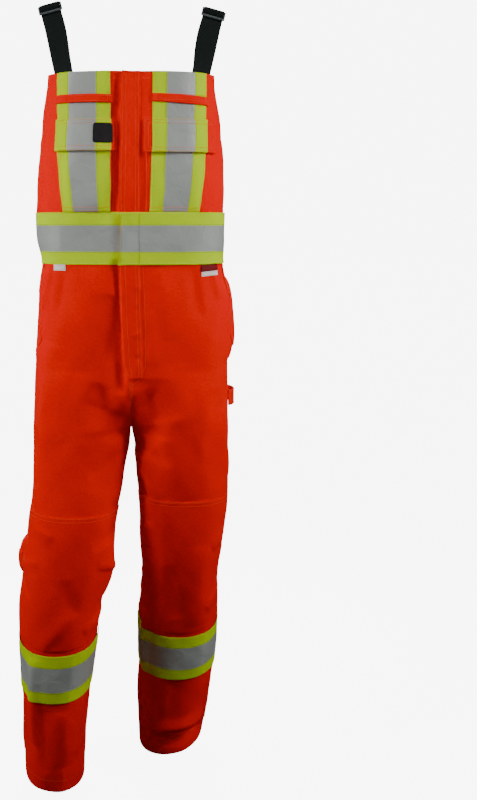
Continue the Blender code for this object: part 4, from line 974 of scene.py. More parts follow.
def sewInside(half, corners, lift, inset, thread="orangeThread", swell=None):
    # a closed row of stitches parallel to the edges of a piece with corners (across, row)
    corners = np.array(corners, float)
    after = np.roll(corners, -1, axis=0)
    turn = 1 if np.sum(corners[:, 0] * after[:, 1] - after[:, 0] * corners[:, 1]) > 0 else -1
    run = (after - corners) / np.hypot(*(after - corners).T)[:, None]
    inwards = turn * np.stack([-run[:, 1], run[:, 0]], axis=1)
    before = np.roll(inwards, 1, axis=0)
    bend = (before + inwards) / (1 + (before * inwards).sum(axis=1))[:, None]
    moved = corners + bend * inset
    sew(half, [*moved, moved[0]], lift, thread, swell)


lineCount = 60  # points along a seam line


def edgeLine(side, half, top, foot, inset):
    # a line beside the outer edge of a panel
    rows = np.linspace(top, foot, lineCount)
    sign = sideSign[side]
    return [(acrossAt(half, side, sheetEdge(side, half, row), row) - sign * inset, row) for row in rows]


def middleLine(sign, top, foot, inset):
    return [(sign * inset, row) for row in np.linspace(top, foot, lineCount)]


def tapeSeams(width):
    # stitch lines along a tape, as shares of its width: its two edges and beside the silver
    inset, beside = edgeInset / width, besideSilver / width
    return (
        (inset, "yellowThread"),
        (1 - inset, "yellowThread"),
        (0.25 - beside, "greyThread"),
        (0.75 + beside, "greyThread"),
    )


# Bib and trouser panels
panelSettings = {
    "columns": 66,
    "step": 0.0042,
    "columnsBesideSeam": (0.0, 0.004, 0.009, 0.018, 0.032, 0.048),
    "offMiddle": 1e-7,  # keeps a panel's first column on its own side
}


def panelColumns():
    close = np.array(panelSettings["columnsBesideSeam"])
    middle = np.linspace(close[-1], 1 - close[-1], panelSettings["columns"] - 2 * len(close) + 2)
    return np.concatenate([close[:-1], middle, 1 - close[-2::-1]])


def panelRows(top, foot):
    count = math.ceil((top - foot) / panelSettings["step"])
    rows = np.linspace(top - endStep, foot + endStep, count)
    return np.concatenate([[top], rows, [foot]])


def layPanel(name, side, half, top, foot):
    rows, columns = panelRows(top, foot), panelColumns()
    edges = np.array([sheetEdge(side, half, row) for row in rows])
    near = panelSettings["offMiddle"]
    share = sideSign[side] * (near + np.outer(edges - near, columns))
    row = np.repeat(rows[:, None], len(columns), axis=1)
    clothPiece(name, half, share, row, -clothThickness, clothThickness)


def layBibBack(top, foot):
    rows, columns = panelRows(top, foot), panelColumns()
    right, left = (np.array([sheetEdge(side, "back", row) for row in rows]) for side in sideSign)
    share = np.concatenate([-np.outer(right, columns[:0:-1]), np.outer(left, columns)], axis=1)
    row = np.repeat(rows[:, None], share.shape[1], axis=1)
    clothPiece("bib_back", "back", share, row, -clothThickness, clothThickness)


for side in sideSign:
    layPanel(f"bib_front_{side}", side, "front", bibTop, waistSeam + seam / 2)
    for half in ("front", "back"):
        layPanel(f"leg_{half}_{side}", side, half, waistSeam - seam / 2, hemHeight[side])
layBibBack(bibTop, waistSeam + seam / 2)
print("panels: cut and laid")
# Chest pockets, their flaps, and the tapes that run down over them
flapTop = -0.2215
pocketTop = -0.2245
pocketBelly = 0.0040
flapStandOff = 0.0034
loopBow = 0.0016
chestTable = {
    # a row, and where the tape's inner and outer edges are across from the middle
    "right": {
        "neck": (bibTop, 0.0400, 0.1492),
        "flapTop": (flapTop, 0.0400, 0.1487),
        "flapFoot": (-0.2810, 0.0410, 0.1500),
        "pocketFoot": (-0.3975, 0.0412, 0.1352),
        "flapEdges": (0.0286, 0.1532),
        "loop": ((-0.1755, 0.0375, 0.1520), (-0.1900, 0.0375, 0.1520)),
        "loopSlope": 0.0,
        "ripple": 0.3,
    },
    "left": {
        "neck": (bibTop, 0.0418, 0.1545),
        "flapTop": (flapTop, 0.0411, 0.1504),
        "flapFoot": (-0.2840, 0.0402, 0.1480),
        "pocketFoot": (-0.3975, 0.0363, 0.1360),
        "flapEdges": (0.0243, 0.1735),
        "loop": ((-0.1735, 0.0405, 0.1570), (-0.1885, 0.0405, 0.1570)),
        "loopSlope": 0.0060,
        "ripple": 2.0,
    },
}
pocketNarrower = 0.004  # than its flap, at each side
pocketTaper = 0.008  # from its mouth to its foot, at each side
flapWaves, flapWave = 95, 0.25  # radians to the metre across a lifted flap, and their share of its lift
tapeUnderFlap = 0.012
loopSeams = (0.004, 0.008)
loopRows = (0.0020, 0.0125)


def between(value, low, high):
    return np.clip((value - low) / (high - low), 0.0, 1.0)


def dome(value, low, high):
    share = between(value, low, high)
    return (4 * share * (1 - share)) ** 0.6


def layChest(side):
    sign, sizes = sideSign[side], chestTable[side]
    flapIn, flapOut = sizes["flapEdges"]
    pocketIn, pocketOut = flapIn + pocketNarrower, flapOut - pocketNarrower
    flapRow = sizes["flapFoot"][0]
    foot = sizes["pocketFoot"]

    def belly(across, row):
        return pocketBelly * dome(sign * across, pocketIn, pocketOut) * dome(row, pocketTop, foot[0])

    def hang(across, row):
        down = between(row, flapTop, flapRow)
        ripple = 1 + flapWave * np.sin(flapWaves * across + sizes["ripple"])
        return belly(across, row) + flapStandOff * down**1.4 * ripple

    def bow(across, row):
        return loopBow * dome(sign * across, *sizes["loop"][0][1:])

    def strip(*ends):
        return [[(sign * inner, row), (sign * outer, row)] for row, inner, outer in ends]

    def overTape(edges, top, low, layer):
        # the height of stitches that lie on a layer and run over its tape
        def rise(across, row):
            inner, outer = (
                np.interp(-row, (-top, -low), (sign * edges[0][k][0], sign * edges[1][k][0])) for k in (0, 1)
            )
            taped = (sign * across > inner) & (sign * across < outer) & (row < top)
            return layer(across, row) + np.where(taped, tapeThickness + seam, 0.0)

        return rise

    tape = strip(sizes["neck"], sizes["flapTop"])
    loop = strip(*sizes["loop"])
    loop = [[inner, (outer[0], outer[1] - sizes["loopSlope"])] for inner, outer in loop]
    pocket = strip((pocketTop, pocketIn, pocketOut), (foot[0], foot[1] - pocketTaper, foot[2] + pocketTaper))
    run = strip((flapRow + tapeUnderFlap, *sizes["flapFoot"][1:]), foot)
    flap = strip((flapTop, flapIn, flapOut), (flapRow, flapIn, flapOut))
    onTop = strip(sizes["flapTop"], sizes["flapFoot"])
    for name, edges, start, striped, step, swell in (
        ("chest_tape", tape, onBody, True, gridStep, None),
        ("radio_loop", loop, onTape, False, fineStep, bow),
        ("chest_pocket", pocket, onBody, False, gridStep, belly),
        ("pocket_tape", run, onCloth, True, gridStep, belly),
        ("pocket_flap", flap, onPocketTape, False, fineStep, hang),
        ("flap_tape", onTop, onFlap, True, fineStep, hang),
    ):
        thickness = tapeThickness if striped else clothThickness
        layBand(f"{name}_{side}", "front", *edges, start, "orange", thickness, striped, step, swell)
        if striped:
            upper, lower = np.array(edges)
            for share, thread in tapeSeams(tapeWidth):
                line = [edge[0] + (edge[1] - edge[0]) * share for edge in (upper, lower)]
                sew("front", line, start + thickness, thread, swell)
    for edges, start, swell in (
        (flap, onPocketTape, overTape(onTop, flapTop, flapRow, hang)),
        (pocket, onBody, overTape(run, flapRow, foot[0], belly)),
    ):
        for inset in seamInsets:
            corners = [*edges[0], *edges[1][::-1]]
            sewInside("front", corners, start + clothThickness, inset, swell=swell)
    onLoop = {"lift": onTape + clothThickness, "swell": bow}
    for k, inwards in ((0, sign), (1, -sign)):
        for inset in loopSeams:
            across = loop[0][k][0] + inwards * inset
            sew("front", [(across, loop[0][k][1]), (across, loop[1][k][1])], **onLoop)
    for drop in loopRows:
        row = loop[0][0][1] - drop
        sew("front", [(loop[0][0][0], row), (loop[0][1][0], row)], **onLoop)
    return hang


flapHang = {side: layChest(side) for side in sideSign}
# A plain patch with rounded corners on the right flap
patchSettings = {
    "left": -0.0720,
    "right": -0.0380,
    "top": -0.2300,
    "foot": -0.2670,
    "corner": 0.0050,
    "thickness": 0.0010,
    "inset": 0.0016,
}


def layFlapPatch(settings):
    corner = settings["corner"]
    turns = [math.radians(degrees) for degrees in (0, 22.5, 45, 67.5, 90)]
    drops = [(settings["left"] + corner * (1 - math.cos(turn)), 1 - math.sin(turn)) for turn in turns]
    drops += [(settings["right"] - corner * (1 - math.cos(turn)), 1 - math.sin(turn)) for turn in turns[::-1]]
    upper = [(across, settings["top"] - corner * drop) for across, drop in drops]
    lower = [(across, settings["foot"] + corner * drop) for across, drop in drops]
    thickness, hang = settings["thickness"], flapHang["right"]
    layBand("flap_patch", "front", upper, lower, onFlapTape, "patch", thickness, step=0.002, swell=hang)
    sewInside("front", upper + lower[::-1], onFlapTape + thickness, settings["inset"], "darkThread", hang)


layFlapPatch(patchSettings)
print("chest: tapes, pockets, flaps and patch laid")
# Storm flap over the front closure
placketTable = (
    # row, free edge, stitched edge
    (bibTop, -0.0177, 0.0168),
    (-0.2260, -0.0168, 0.0168),
    (-0.3985, -0.0204, 0.0162),
    (-0.5000, -0.0196, 0.0169),
    (-0.6100, -0.0150, 0.0200),
    (-0.7050, -0.0097, 0.0237),
    (-0.7270, -0.0052, 0.0225),
)
placketLift = 0.0046
placketCurl = 0.02  # the width over which its free edge lifts
flySeam = (
    # across, row: the fly's curved seam beside the storm flap
    (0.0236, -0.5050),
    (0.0290, -0.6200),
    (0.0290, -0.7020),
    (0.0180, -0.7300),
    (0.0010, -0.7420),
)


def placketRise(across, row):
    # the storm flap's free edge stands a little off the bib
    rows, edges, _ = np.array(placketTable).T
    edge = np.interp(-row, -rows, edges)
    near = np.clip((edge + placketCurl - across) / placketCurl, 0.0, 1.0)
    return placketLift * near**2 * (across > edge - 0.002)


def layPlacket():
    # its grid runs down the flap, so upper is the free edge and lower the stitched one
    upper = [(edge, row) for row, edge, _ in placketTable]
    lower = [(edge, row) for row, _, edge in placketTable]
    layBand("placket", "front", upper, lower, onBody, swell=placketRise)
    for edges, sign in ((upper, 1), (lower, -1)):
        for inset in seamInsets:
            line = [(edge + sign * inset, row) for edge, row in edges]
            sew("front", line, onBody + clothThickness, swell=placketRise)
    sew("front", flySeam)


layPlacket()


def onPanel(half, share, row, gap=0.0):
    # whether these places are on the cloth of a panel
    flat = [
        sheetEdge("left" if one > 0 else "right", half, value) - gap
        for one, value in zip(share.ravel(), row.ravel())
    ]
    return np.abs(share) <= np.array(flat).reshape(share.shape) + 1e-9


tapeSamples = 901  # places along a tape where it is tried
tapeSeamGap = 0.003  # share of the cloth that its seams leave free at its ends


def layTape(name, half, upper, lower, layer, keep=None, swell=None):
    # a sewn tape between two matched edges, cut off where it leaves the panel or what it may cover
    upper, lower = np.array(upper, float), np.array(lower, float)
    fine = np.linspace(0, 1, tapeSamples)
    knots = np.concatenate([[0.0], np.cumsum(np.hypot(*np.diff(upper + lower, axis=0).T))])
    knots /= knots[-1]
    height = float(np.hypot(*(upper - lower).T).mean())

    def line(part, gap=0.0):
        # the tape at this part of its height, and where along it there is cloth to sew it on
        corners = upper + (lower - upper) * part
        across, row = (np.interp(fine, knots, corners[:, k]) for k in (0, 1))
        share = sharesOf(half, across, row)
        inside = onPanel(half, share, row, gap)
        if keep is not None:
            inside &= keep(across, row)
        return across, row, share, np.flatnonzero(inside)

    rows = cutSteps(height, striped=True)
    shares, heights, columns = [], [], None
    for part in rows:
        _, row, share, where = line(part)
        if columns is None:
            length = float(np.hypot(*np.diff(upper, axis=0).T).sum())
            columns = cutSteps(length * (where[-1] - where[0]) / len(fine))
        at = fine[where[0]] + columns * (fine[where[-1]] - fine[where[0]])
        shares.append(np.interp(at, fine, share))
        heights.append(np.interp(at, fine, row))
    finishOf = np.repeat(silverSteps(rows)[:, None], len(columns) - 1, axis=1)
    share, row = np.array(shares), np.array(heights)
    rise = 0.0 if swell is None else swell(metresOf(half, share, row)[..., 0], row)
    clothPiece(name, half, share, row, layer, tapeThickness, ("yellow", "silver"), finishOf, rise)
    for part, thread in tapeSeams(height):
        across, row, _, where = line(part, tapeSeamGap)
        stretch = where[::12]
        sew(half, np.stack([across, row], axis=1)[stretch], layer + tapeThickness, thread, swell)


# Waist tape: the left front runs over the storm flap, the right front stops at its edge
waistSettings = {
    "backDrop": 0.0065,
    "freeEdge": -0.0203,
    "gap": 0.0008,
    "reach": 0.33,
    "placketSeam": 0.0158,
}


def layWaist(settings):
    reach, free = settings["reach"], settings["freeEdge"]

    def edges(start, stop, drop=0.0):
        rows = waistTapeTop - drop, waistTapeTop - tapeWidth - drop
        return [[(start, row), (stop, row)] for row in rows]

    layTape("waist_tape_right", "front", *edges(-reach, free - settings["gap"]), onBody)
    layTape("waist_tape_left", "front", *edges(free, reach), onCloth, swell=placketRise)
    for across, thread in ((free + edgeInset, "greyThread"), (settings["placketSeam"], "darkThread")):
        line = [(across, row) for row in np.linspace(waistTapeTop, waistTapeTop - tapeWidth, 12)]
        sew("front", line, onCloth + tapeThickness, thread, placketRise)
    layTape("waist_tape_back", "back", *edges(-reach, reach, settings["backDrop"]), onBody)


layWaist(waistSettings)
# Two crossed tapes on the back, cut at the armholes, the side seams and the waist tape
crossTable = (
    # upper edge: across, row; lower edge: across, row
    (0.2300, -0.1370, 0.2600, -0.2200),
    (0.1901, -0.1510, 0.2230, -0.2400),
    (0.1162, -0.1790, 0.1749, -0.2645),
    (0.0590, -0.2165, 0.1165, -0.2950),
    (0.0018, -0.2540, 0.0570, -0.3365),
    (-0.0680, -0.3010, -0.0030, -0.3780),
    (-0.1273, -0.3480, -0.0600, -0.4190),
    (-0.1900, -0.4020, -0.1230, -0.4730),
)
crossFoot = -0.4040
crossSide = 0.1655


def layCross():
    for name, sign, start in (("back_tape_under", -1, onBody), ("back_tape_over", 1, onTape)):
        def keep(across, row):
            return (row >= crossFoot) & (sign * across >= -crossSide)

        upper = [(sign * row[0], row[1]) for row in crossTable]
        lower = [(sign * row[2], row[3]) for row in crossTable]
        layTape(name, "back", upper, lower, start, keep)


layCross()
print("waist and back: tapes laid")
# Patch pockets and other small pieces: corners of the upper and of the lower edge, across and row
trimTable = {
    "back_pocket_left": {
        "half": "back",
        "upper": ((0.0214, -0.5668), (0.0440, -0.5652), (0.1500, -0.5580), (0.1660, -0.5570)),
        "lower": ((0.0217, -0.7260), (0.0440, -0.7450), (0.1500, -0.7495), (0.1690, -0.7340)),
        "belly": 0.0045,
    },
    "back_pocket_right": {
        "half": "back",
        "upper": ((-0.0446, -0.5688), (-0.0716, -0.5668), (-0.1190, -0.5632), (-0.1796, -0.5587)),
        "lower": ((-0.0502, -0.7312), (-0.0716, -0.7520), (-0.1190, -0.7535), (-0.1821, -0.7291)),
        "belly": 0.0045,
    },
    "hip_welt_right": {
        "half": "front",
        "upper": ((-0.1920, -0.5035), (-0.2020, -0.5035)),
        "lower": ((-0.2120, -0.6683), (-0.2220, -0.6683)),
    },
    "hip_welt_left": {
        "half": "front",
        "upper": ((0.2190, -0.5035), (0.2290, -0.5035)),
        "lower": ((0.2430, -0.6703), (0.2530, -0.6703)),
    },
    "rule_pocket": {
        "half": "back",
        "upper": ((0.2290, -0.8640), (0.3080, -0.8560)),
        "lower": ((0.2260, -1.0310), (0.2960, -1.0290)),
        "belly": 0.0030,
    },
    "thigh_pocket": {
        "half": "back",
        "upper": ((-0.1960, -0.8290), (-0.3040, -0.8120)),
        "lower": ((-0.2420, -0.9730), (-0.3250, -0.9620)),
        "belly": 0.0040,
    },
    "tag_right": {
        "half": "front",
        "upper": ((-0.1335, -0.5008), (-0.1615, -0.5008)),
        "lower": ((-0.1335, -0.5125), (-0.1615, -0.5125)),
        "finish": "whiteTag",
    },
    "tag_left_upper": {
        "half": "front",
        "upper": ((0.1435, -0.5008), (0.1880, -0.5008)),
        "lower": ((0.1432, -0.5150), (0.1870, -0.5130)),
        "finish": "redTag",
    },
    "tag_left_lower": {
        "half": "front",
        "upper": ((0.1450, -0.5156), (0.1865, -0.5136)),
        "lower": ((0.1450, -0.5245), (0.1860, -0.5225)),
        "finish": "whiteTag",
    },
}
mouthHem = 0.018
tagInset = 0.0014
tagThickness = 0.0010


def layTrim(name, settings):
    half, upper, lower = settings["half"], settings["upper"], settings["lower"]
    inner, outer = sorted((abs(upper[0][0]), abs(upper[-1][0])))
    top, foot = upper[0][1], lower[0][1]
    depth = settings.get("belly", 0.0)
    finish = settings.get("finish", "orange")
    isTag = finish != "orange"

    def belly(across, row):
        # the mouth of a pocket stands open a little more than its foot
        down = between(row, top, foot)
        rise = 0.45 + 1.9 * down - 2.35 * down**2
        return depth * dome(np.abs(across), inner, outer) * np.clip(rise, 0, None)

    thickness = tagThickness if isTag else clothThickness
    step = gridStep if depth else fineStep
    layBand(name, half, upper, lower, onBody, finish, thickness, step=step, swell=belly)
    thread = "darkThread" if finish == "redTag" else "orangeThread"
    insets = seamInsets if depth else (tagInset if isTag else edgeInset,)
    for inset in insets:
        sewInside(half, [*upper, *lower[::-1]], onBody + thickness, inset, thread, belly)
    if depth:
        hem = [(across, row - mouthHem) for across, row in (upper[0], upper[-1])]
        sew(half, hem, onBody + clothThickness, swell=belly)


for name, settings in trimTable.items():
    layTrim(name, settings)
print("pockets, welts and tags: laid")
# Lower legs: knee patches, tapes, zip flaps and zips
kneeTop = {"right": -1.010, "left": -0.985}
kneeFoot = legTapeTop + 0.010
legSettings = {
    "kneeFrom": 0.018,
    "kneeTo": 0.445,
    "kneeStandOff": 0.0016,
    "kneeInsets": (0.0024, 0.0088),
    "flapFrom": 0.452,
    "reach": 0.33,
}


def layLeg(side, settings):
    sign = sideSign[side]
    top, foot = kneeTop[side], kneeFoot
    start, stop = settings["kneeFrom"], settings["kneeTo"]

    def puff(across, row):
        share = np.abs(sharesOf("front", across, row))
        return settings["kneeStandOff"] * dome(share, start, stop) * dome(row, top, foot)

    shares = [start + (stop - start) * t for t in np.linspace(0.0, 1.0, 9)]
    upper, lower = ([(acrossAt("front", side, one, row), row) for one in shares] for row in (top, foot))
    layBand(f"knee_patch_{side}", "front", upper, lower, onBody, swell=puff)
    onPatch = {"lift": onBody + clothThickness, "swell": puff}
    for inset in settings["kneeInsets"]:
        sew("front", [(across, row - inset) for across, row in upper], **onPatch)
        for share, inwards in ((start, sign), (stop, -sign)):
            rows = np.linspace(top, foot, 40)
            line = [(acrossAt("front", side, share, row) + inwards * inset, row) for row in rows]
            sew("front", line, **onPatch)

    rows, shares = np.linspace(zipTop, zipFoot, 9), (settings["flapFrom"], 0.5 - seamShare)
    upper, lower = ([(acrossAt("front", side, one, row), row) for row in rows] for one in shares)
    layBand(f"zip_flap_{side}", "front", upper, lower, onBody)
    for inset in seamInsets:
        sew("front", [(across + sign * inset, row) for across, row in upper], onBody + clothThickness)

    for half, layer in (("front", onCloth), ("back", onBody)):
        ends = acrossAt(half, side, seamShare, legTapeTop), sign * settings["reach"]
        edges = ([(across, row) for across in ends] for row in (legTapeTop, legTapeTop - tapeWidth))
        layTape(f"leg_tape_{half}_{side}", half, *edges, layer)
    layZip(side, zipSettings)


zipSettings = {
    "margin": 0.008,
    "depth": 0.0032,  # its outer face below the body's outer face
    "thickness": 0.0015,
    "width": 0.04,
    "pitch": 0.0026,
    "toothless": 0.006,  # at each end
    "tooth": (0.0036, 0.0016, 0.0012),  # across, along, out
}
zipTeeth = {}


def layZip(side, settings):
    sign, depth, thickness = sideSign[side], settings["depth"], settings["thickness"]
    rows = np.linspace(zipTop, zipFoot, int((zipTop - zipFoot) / gridStep))
    near = np.full(len(rows), 0.5 - seamShare)
    far = np.array([0.5 - slitShare(side, row) - settings["margin"] for row in rows])
    columns = cutSteps(settings["width"])
    share = sign * (far[:, None] + np.outer(near - far, columns))
    row = np.repeat(rows[:, None], len(columns), axis=1)
    clothPiece(f"leg_zip_{side}", "back", share, row, -depth - thickness, thickness, ("zip",))
    ends = zipTop - settings["toothless"], zipFoot + settings["toothless"]
    rows = np.linspace(*ends, int((zipTop - zipFoot) / settings["pitch"]))
    middle = np.array([0.5 - slitShare(side, row) / 2 for row in rows])
    place, facing = onSurface("back", sign * middle, rows)
    zipTeeth[side] = place - facing * depth, facing


for side in sideSign:
    layLeg(side, legSettings)
print("lower legs: knees, tapes and zips laid")

# Straps: webbing from inside the bib front over the shoulder to inside the bib back
strapSettings = {
    "thickness": 0.0020,
    "width": 0.0400,
    "tuckedWidth": 0.93,  # share of its width that shows across where it lies on the curve of the bib
    "columns": 10,
    "steps": 10,
    "slope": math.radians(15),  # the outer edge is the lower one
    "sliderPlace": 2.5,  # along the path's points
    "topPlace": 4,
    "rows": (-0.1780, -0.1715, -0.1650, -0.1575, -0.1500, -0.1420, -0.1330),
    "under": clothThickness + 2 * seam,
}
strapAcross = {
    # x of the webbing's middle at the bib front and at the bib back
    "right": (0.1330, 0.1380),
    "left": (0.1378, 0.1440),
}
strapPath = {
    # x, y, z of the webbing's middle over the shoulder
    "right": (
        (0.1370, -0.0770, -0.1000),
        (0.1450, -0.0690, -0.0550),
        (0.1550, -0.0475, -0.0187),
        (0.1605, -0.0215, 0.0017),
        (0.1620, 0.0010, 0.0050),
        (0.1620, 0.0220, 0.0035),
        (0.1575, 0.0440, -0.0200),
        (0.1490, 0.0580, -0.0640),
        (0.1412, 0.0655, -0.1060),
    ),
    "left": (
        (0.1405, -0.0770, -0.1000),
        (0.1475, -0.0690, -0.0640),
        (0.1580, -0.0475, -0.0290),
        (0.1640, -0.0215, -0.0080),
        (0.1665, 0.0010, -0.0030),
        (0.1670, 0.0220, -0.0045),
        (0.1625, 0.0430, -0.0270),
        (0.1545, 0.0555, -0.0680),
        (0.1470, 0.0625, -0.1060),
    ),
}


def insideRow(side, half, row, x, depth):
    # places across the webbing where it lies under the bib
    settings = strapSettings
    shares = np.linspace(0.0, 0.5, 201)
    across, _ = sectionPoint(side, aroundOf(half, shares), np.full(len(shares), row))
    width = settings["width"] * settings["tuckedWidth"]
    wanted = x + width * np.linspace(-0.5, 0.5, settings["columns"] + 1)
    share = sideSign[side] * np.interp(wanted, across, shares)
    place, facing = onSurface(half, share, np.full(share.shape, row))
    return place - facing * depth


def smoothPath(points, steps):
    points = [2 * points[0] - points[1], *points, 2 * points[-1] - points[-2]]
    curve = []
    for a, b, c, d in zip(points, points[1:], points[2:], points[3:]):
        for k in range(steps):
            t = k / steps
            bend = (2 * a - 5 * b + 4 * c - d) * t * t + (3 * b - a - 3 * c + d) * t * t * t
            curve.append(0.5 * (2 * b + (c - a) * t + bend))
    return [*curve, points[-2]]


def unit(vector):
    return vector / np.linalg.norm(vector)


def strapFrames(side, settings):
    sign, steps = sideSign[side], settings["steps"]
    ends = [
        insideRow(side, half, settings["rows"][-1], x, settings["under"] + settings["thickness"] / 2)
        for half, x in zip(("front", "back"), strapAcross[side])
    ]
    path = [np.array((sign * x, y, z)) for x, y, z in strapPath[side]]
    path = smoothPath([ends[0].mean(0), *path, ends[1].mean(0)], steps)
    edges = [unit(end[-1] - end[0]) for end in ends]
    slope = settings["slope"]
    top = np.array((sign * math.cos(slope), 0.0, -math.sin(slope)))
    topRow = (settings["topPlace"] + 1) * steps
    frames = []
    for k in range(1, len(path) - 1):
        along = unit(path[k + 1] - path[k - 1])
        far = (topRow - k) / topRow if k < topRow else (k - topRow) / (len(path) - 1 - topRow)
        blend = max(0.0, (far - 0.3) / 0.7) ** 1.5
        across = top * (1 - blend) + edges[0 if k < topRow else 1] * blend
        across = unit(across - along * (along @ across))
        frames.append((path[k], across, np.cross(across, along) * sign))
    return ends, frames


def webbingShell(name, outer, inner):
    outer, inner = np.array(outer), np.array(inner)
    wide = np.linalg.norm(np.diff(outer, axis=1), axis=2).sum(axis=1).mean()
    drops = np.linalg.norm(np.diff(outer, axis=0), axis=2).mean(axis=1)
    long = np.concatenate([[0.0], np.cumsum(drops)])
    uv = np.stack(np.meshgrid(np.linspace(0, wide, outer.shape[1]), long), axis=-1)
    piece = cutShell(name, outer, inner, uv, ("webbing",))
    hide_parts(name)


def ridge(count):
    # webbing is a little thinner at its two woven edges
    share = np.linspace(-1, 1, count)
    return 1 - 0.45 * np.clip((np.abs(share) - 0.86) / 0.14, 0, 1) ** 2


def layStrap(side, settings):
    ends, frames = strapFrames(side, settings)
    thick, under = settings["thickness"], settings["under"]
    count = settings["columns"] + 1
    columns = np.linspace(-0.5, 0.5, count)
    slim = ridge(count)[:, None]

    def tucked(half, rows):
        x = strapAcross[side][0 if half == "front" else 1]
        return [[insideRow(side, half, row, x, under + deep) for row in rows] for deep in (0.0, thick)]

    outer, inner = tucked("front", settings["rows"])
    for middle, across, outward in frames:
        points = middle + np.outer(columns, across) * settings["width"]
        for end in ends:  # close to the bib the webbing still has the bib's curve
            chord = end[0] + np.outer(columns + 0.5, end[-1] - end[0])
            fade = math.exp(-np.linalg.norm((end[0] + end[-1]) / 2 - middle) / 0.03)
            points = points + (end - chord) * fade
        outer.append(points + outward * thick / 2 * slim)
        inner.append(points - outward * thick / 2 * slim)
    for grid, rows in zip((outer, inner), tucked("back", settings["rows"][::-1])):
        grid.extend(rows)
    webbingShell(f"strap_{side}", outer, inner)
    middle, across, outward = frames[round((settings["sliderPlace"] + 1) * settings["steps"]) - 1]
    laySlider(side, middle + outward * thick / 2, across, outward, sliderSettings)


sliderSettings = {
    "width": 0.0475,
    "length": 0.0300,
    "thickness": 0.0032,
    "bar": 0.0048,
    "rounding": 0.0011,
    "turnRise": 0.0125,
    "turnFoot": 0.0045,  # height at which the webbing starts to turn over the bar
    "turnOut": 0.0012,
    "turnColumns": 9,
    "play": 0.0005,  # between the webbing and each side of its window
    "turnInsets": (0.0010, 0.0007),  # of its ends from the outer edge and from the bar
    "turnLift": 0.0026,
}


def laySlider(side, seat, across, outward, settings):
    # a moulded frame with two windows, and webbing up through one and down through the other
    along = np.cross(outward, across) * sideSign[side]
    along = -along if along[1] < 0 else along
    webbing, width = strapSettings["thickness"], strapSettings["width"]
    low = webbing / 2
    lift = low + webbing / 2 + seam

    def at(x, y, z):
        return Vector(seat + across * x + along * y + outward * z)

    outerX, windowX = settings["width"] / 2, width / 2 + settings["play"]
    outerY, middleY = settings["length"] / 2, settings["bar"] / 2
    barY = outerY - settings["bar"]
    columns = (-outerX, -windowX, windowX, outerX)
    rows = (-outerY, -barY, -middleY, middleY, barY, outerY)
    mould = bmesh.new()
    corners = [[mould.verts.new(at(x, y, lift)) for x in columns] for y in rows]
    for j, (near, far) in enumerate(zip(corners, corners[1:])):
        for i in range(len(columns) - 1):
            if i != 1 or j not in (1, 3):  # those two are the windows
                mould.faces.new((near[i], near[i + 1], far[i + 1], far[i]))
    solid = bmesh.ops.extrude_face_region(mould, geom=mould.faces[:])
    for vert in [item for item in solid["geom"] if isinstance(item, bmesh.types.BMVert)]:
        vert.co += Vector(outward) * settings["thickness"]
    bmesh.ops.recalc_face_normals(mould, faces=mould.faces)
    sharp = [edge for edge in mould.edges if edge.calc_face_angle(0.0) > 0.5]
    bmesh.ops.bevel(mould, geom=sharp, offset=settings["rounding"], segments=3, profile=0.6,
                    affect="EDGES", clamp_overlap=True)
    mesh = bpy.data.meshes.new(f"moulded_slider_{side}")
    mould.to_mesh(mesh)
    mould.free()
    mesh.shade_smooth()
    mesh.uv_layers.new(name="cut")
    mesh.materials.append(materials["slider"])
    piece = addPiece(f"moulded_slider_{side}", mesh)
    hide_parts(f"slider_{side}")

    reach = (barY + middleY) / 2 + settings["turnOut"]
    foot = settings["turnFoot"]
    atEdge, atBar = settings["turnInsets"]
    ends = ((outerY - atEdge, low), (barY - atBar, low), (reach, low + settings["turnLift"]))
    profile = [(-y, z) for y, z in ends]
    for angle in np.radians(np.linspace(170, 10, 15)):
        rise = (settings["turnRise"] - foot) * math.sin(angle)
        profile.append((reach * math.cos(angle), foot + rise))
    profile += ends[::-1]
    count = settings["turnColumns"]
    xs, slim = np.linspace(-width / 2, width / 2, count), ridge(count)
    outer, inner = [], []
    for k, (y, z) in enumerate(profile):
        before, after = profile[max(k - 1, 0)], profile[min(k + 1, len(profile) - 1)]
        runY, runZ = unit(np.array(after) - np.array(before))
        for grid, offset in ((outer, webbing / 2), (inner, -webbing / 2)):
            row = [at(x, y - runZ * offset * thin, z + runY * offset * thin) for x, thin in zip(xs, slim)]
            grid.append(row)
    webbingShell(f"strap_turn_{side}", outer, inner)


for side in sideSign:
    layStrap(side, strapSettings)
print("straps and sliders: laid")
# Hammer loop: a cloth band round the left outseam
loopSettings = {
    "row": -0.7820,
    "width": 0.0320,
    "thickness": 0.0022,
    "around": (0.4650, 0.6130),
    "stand": 0.0012,
    "bulge": 0.0125,
    "steps": 40,
}


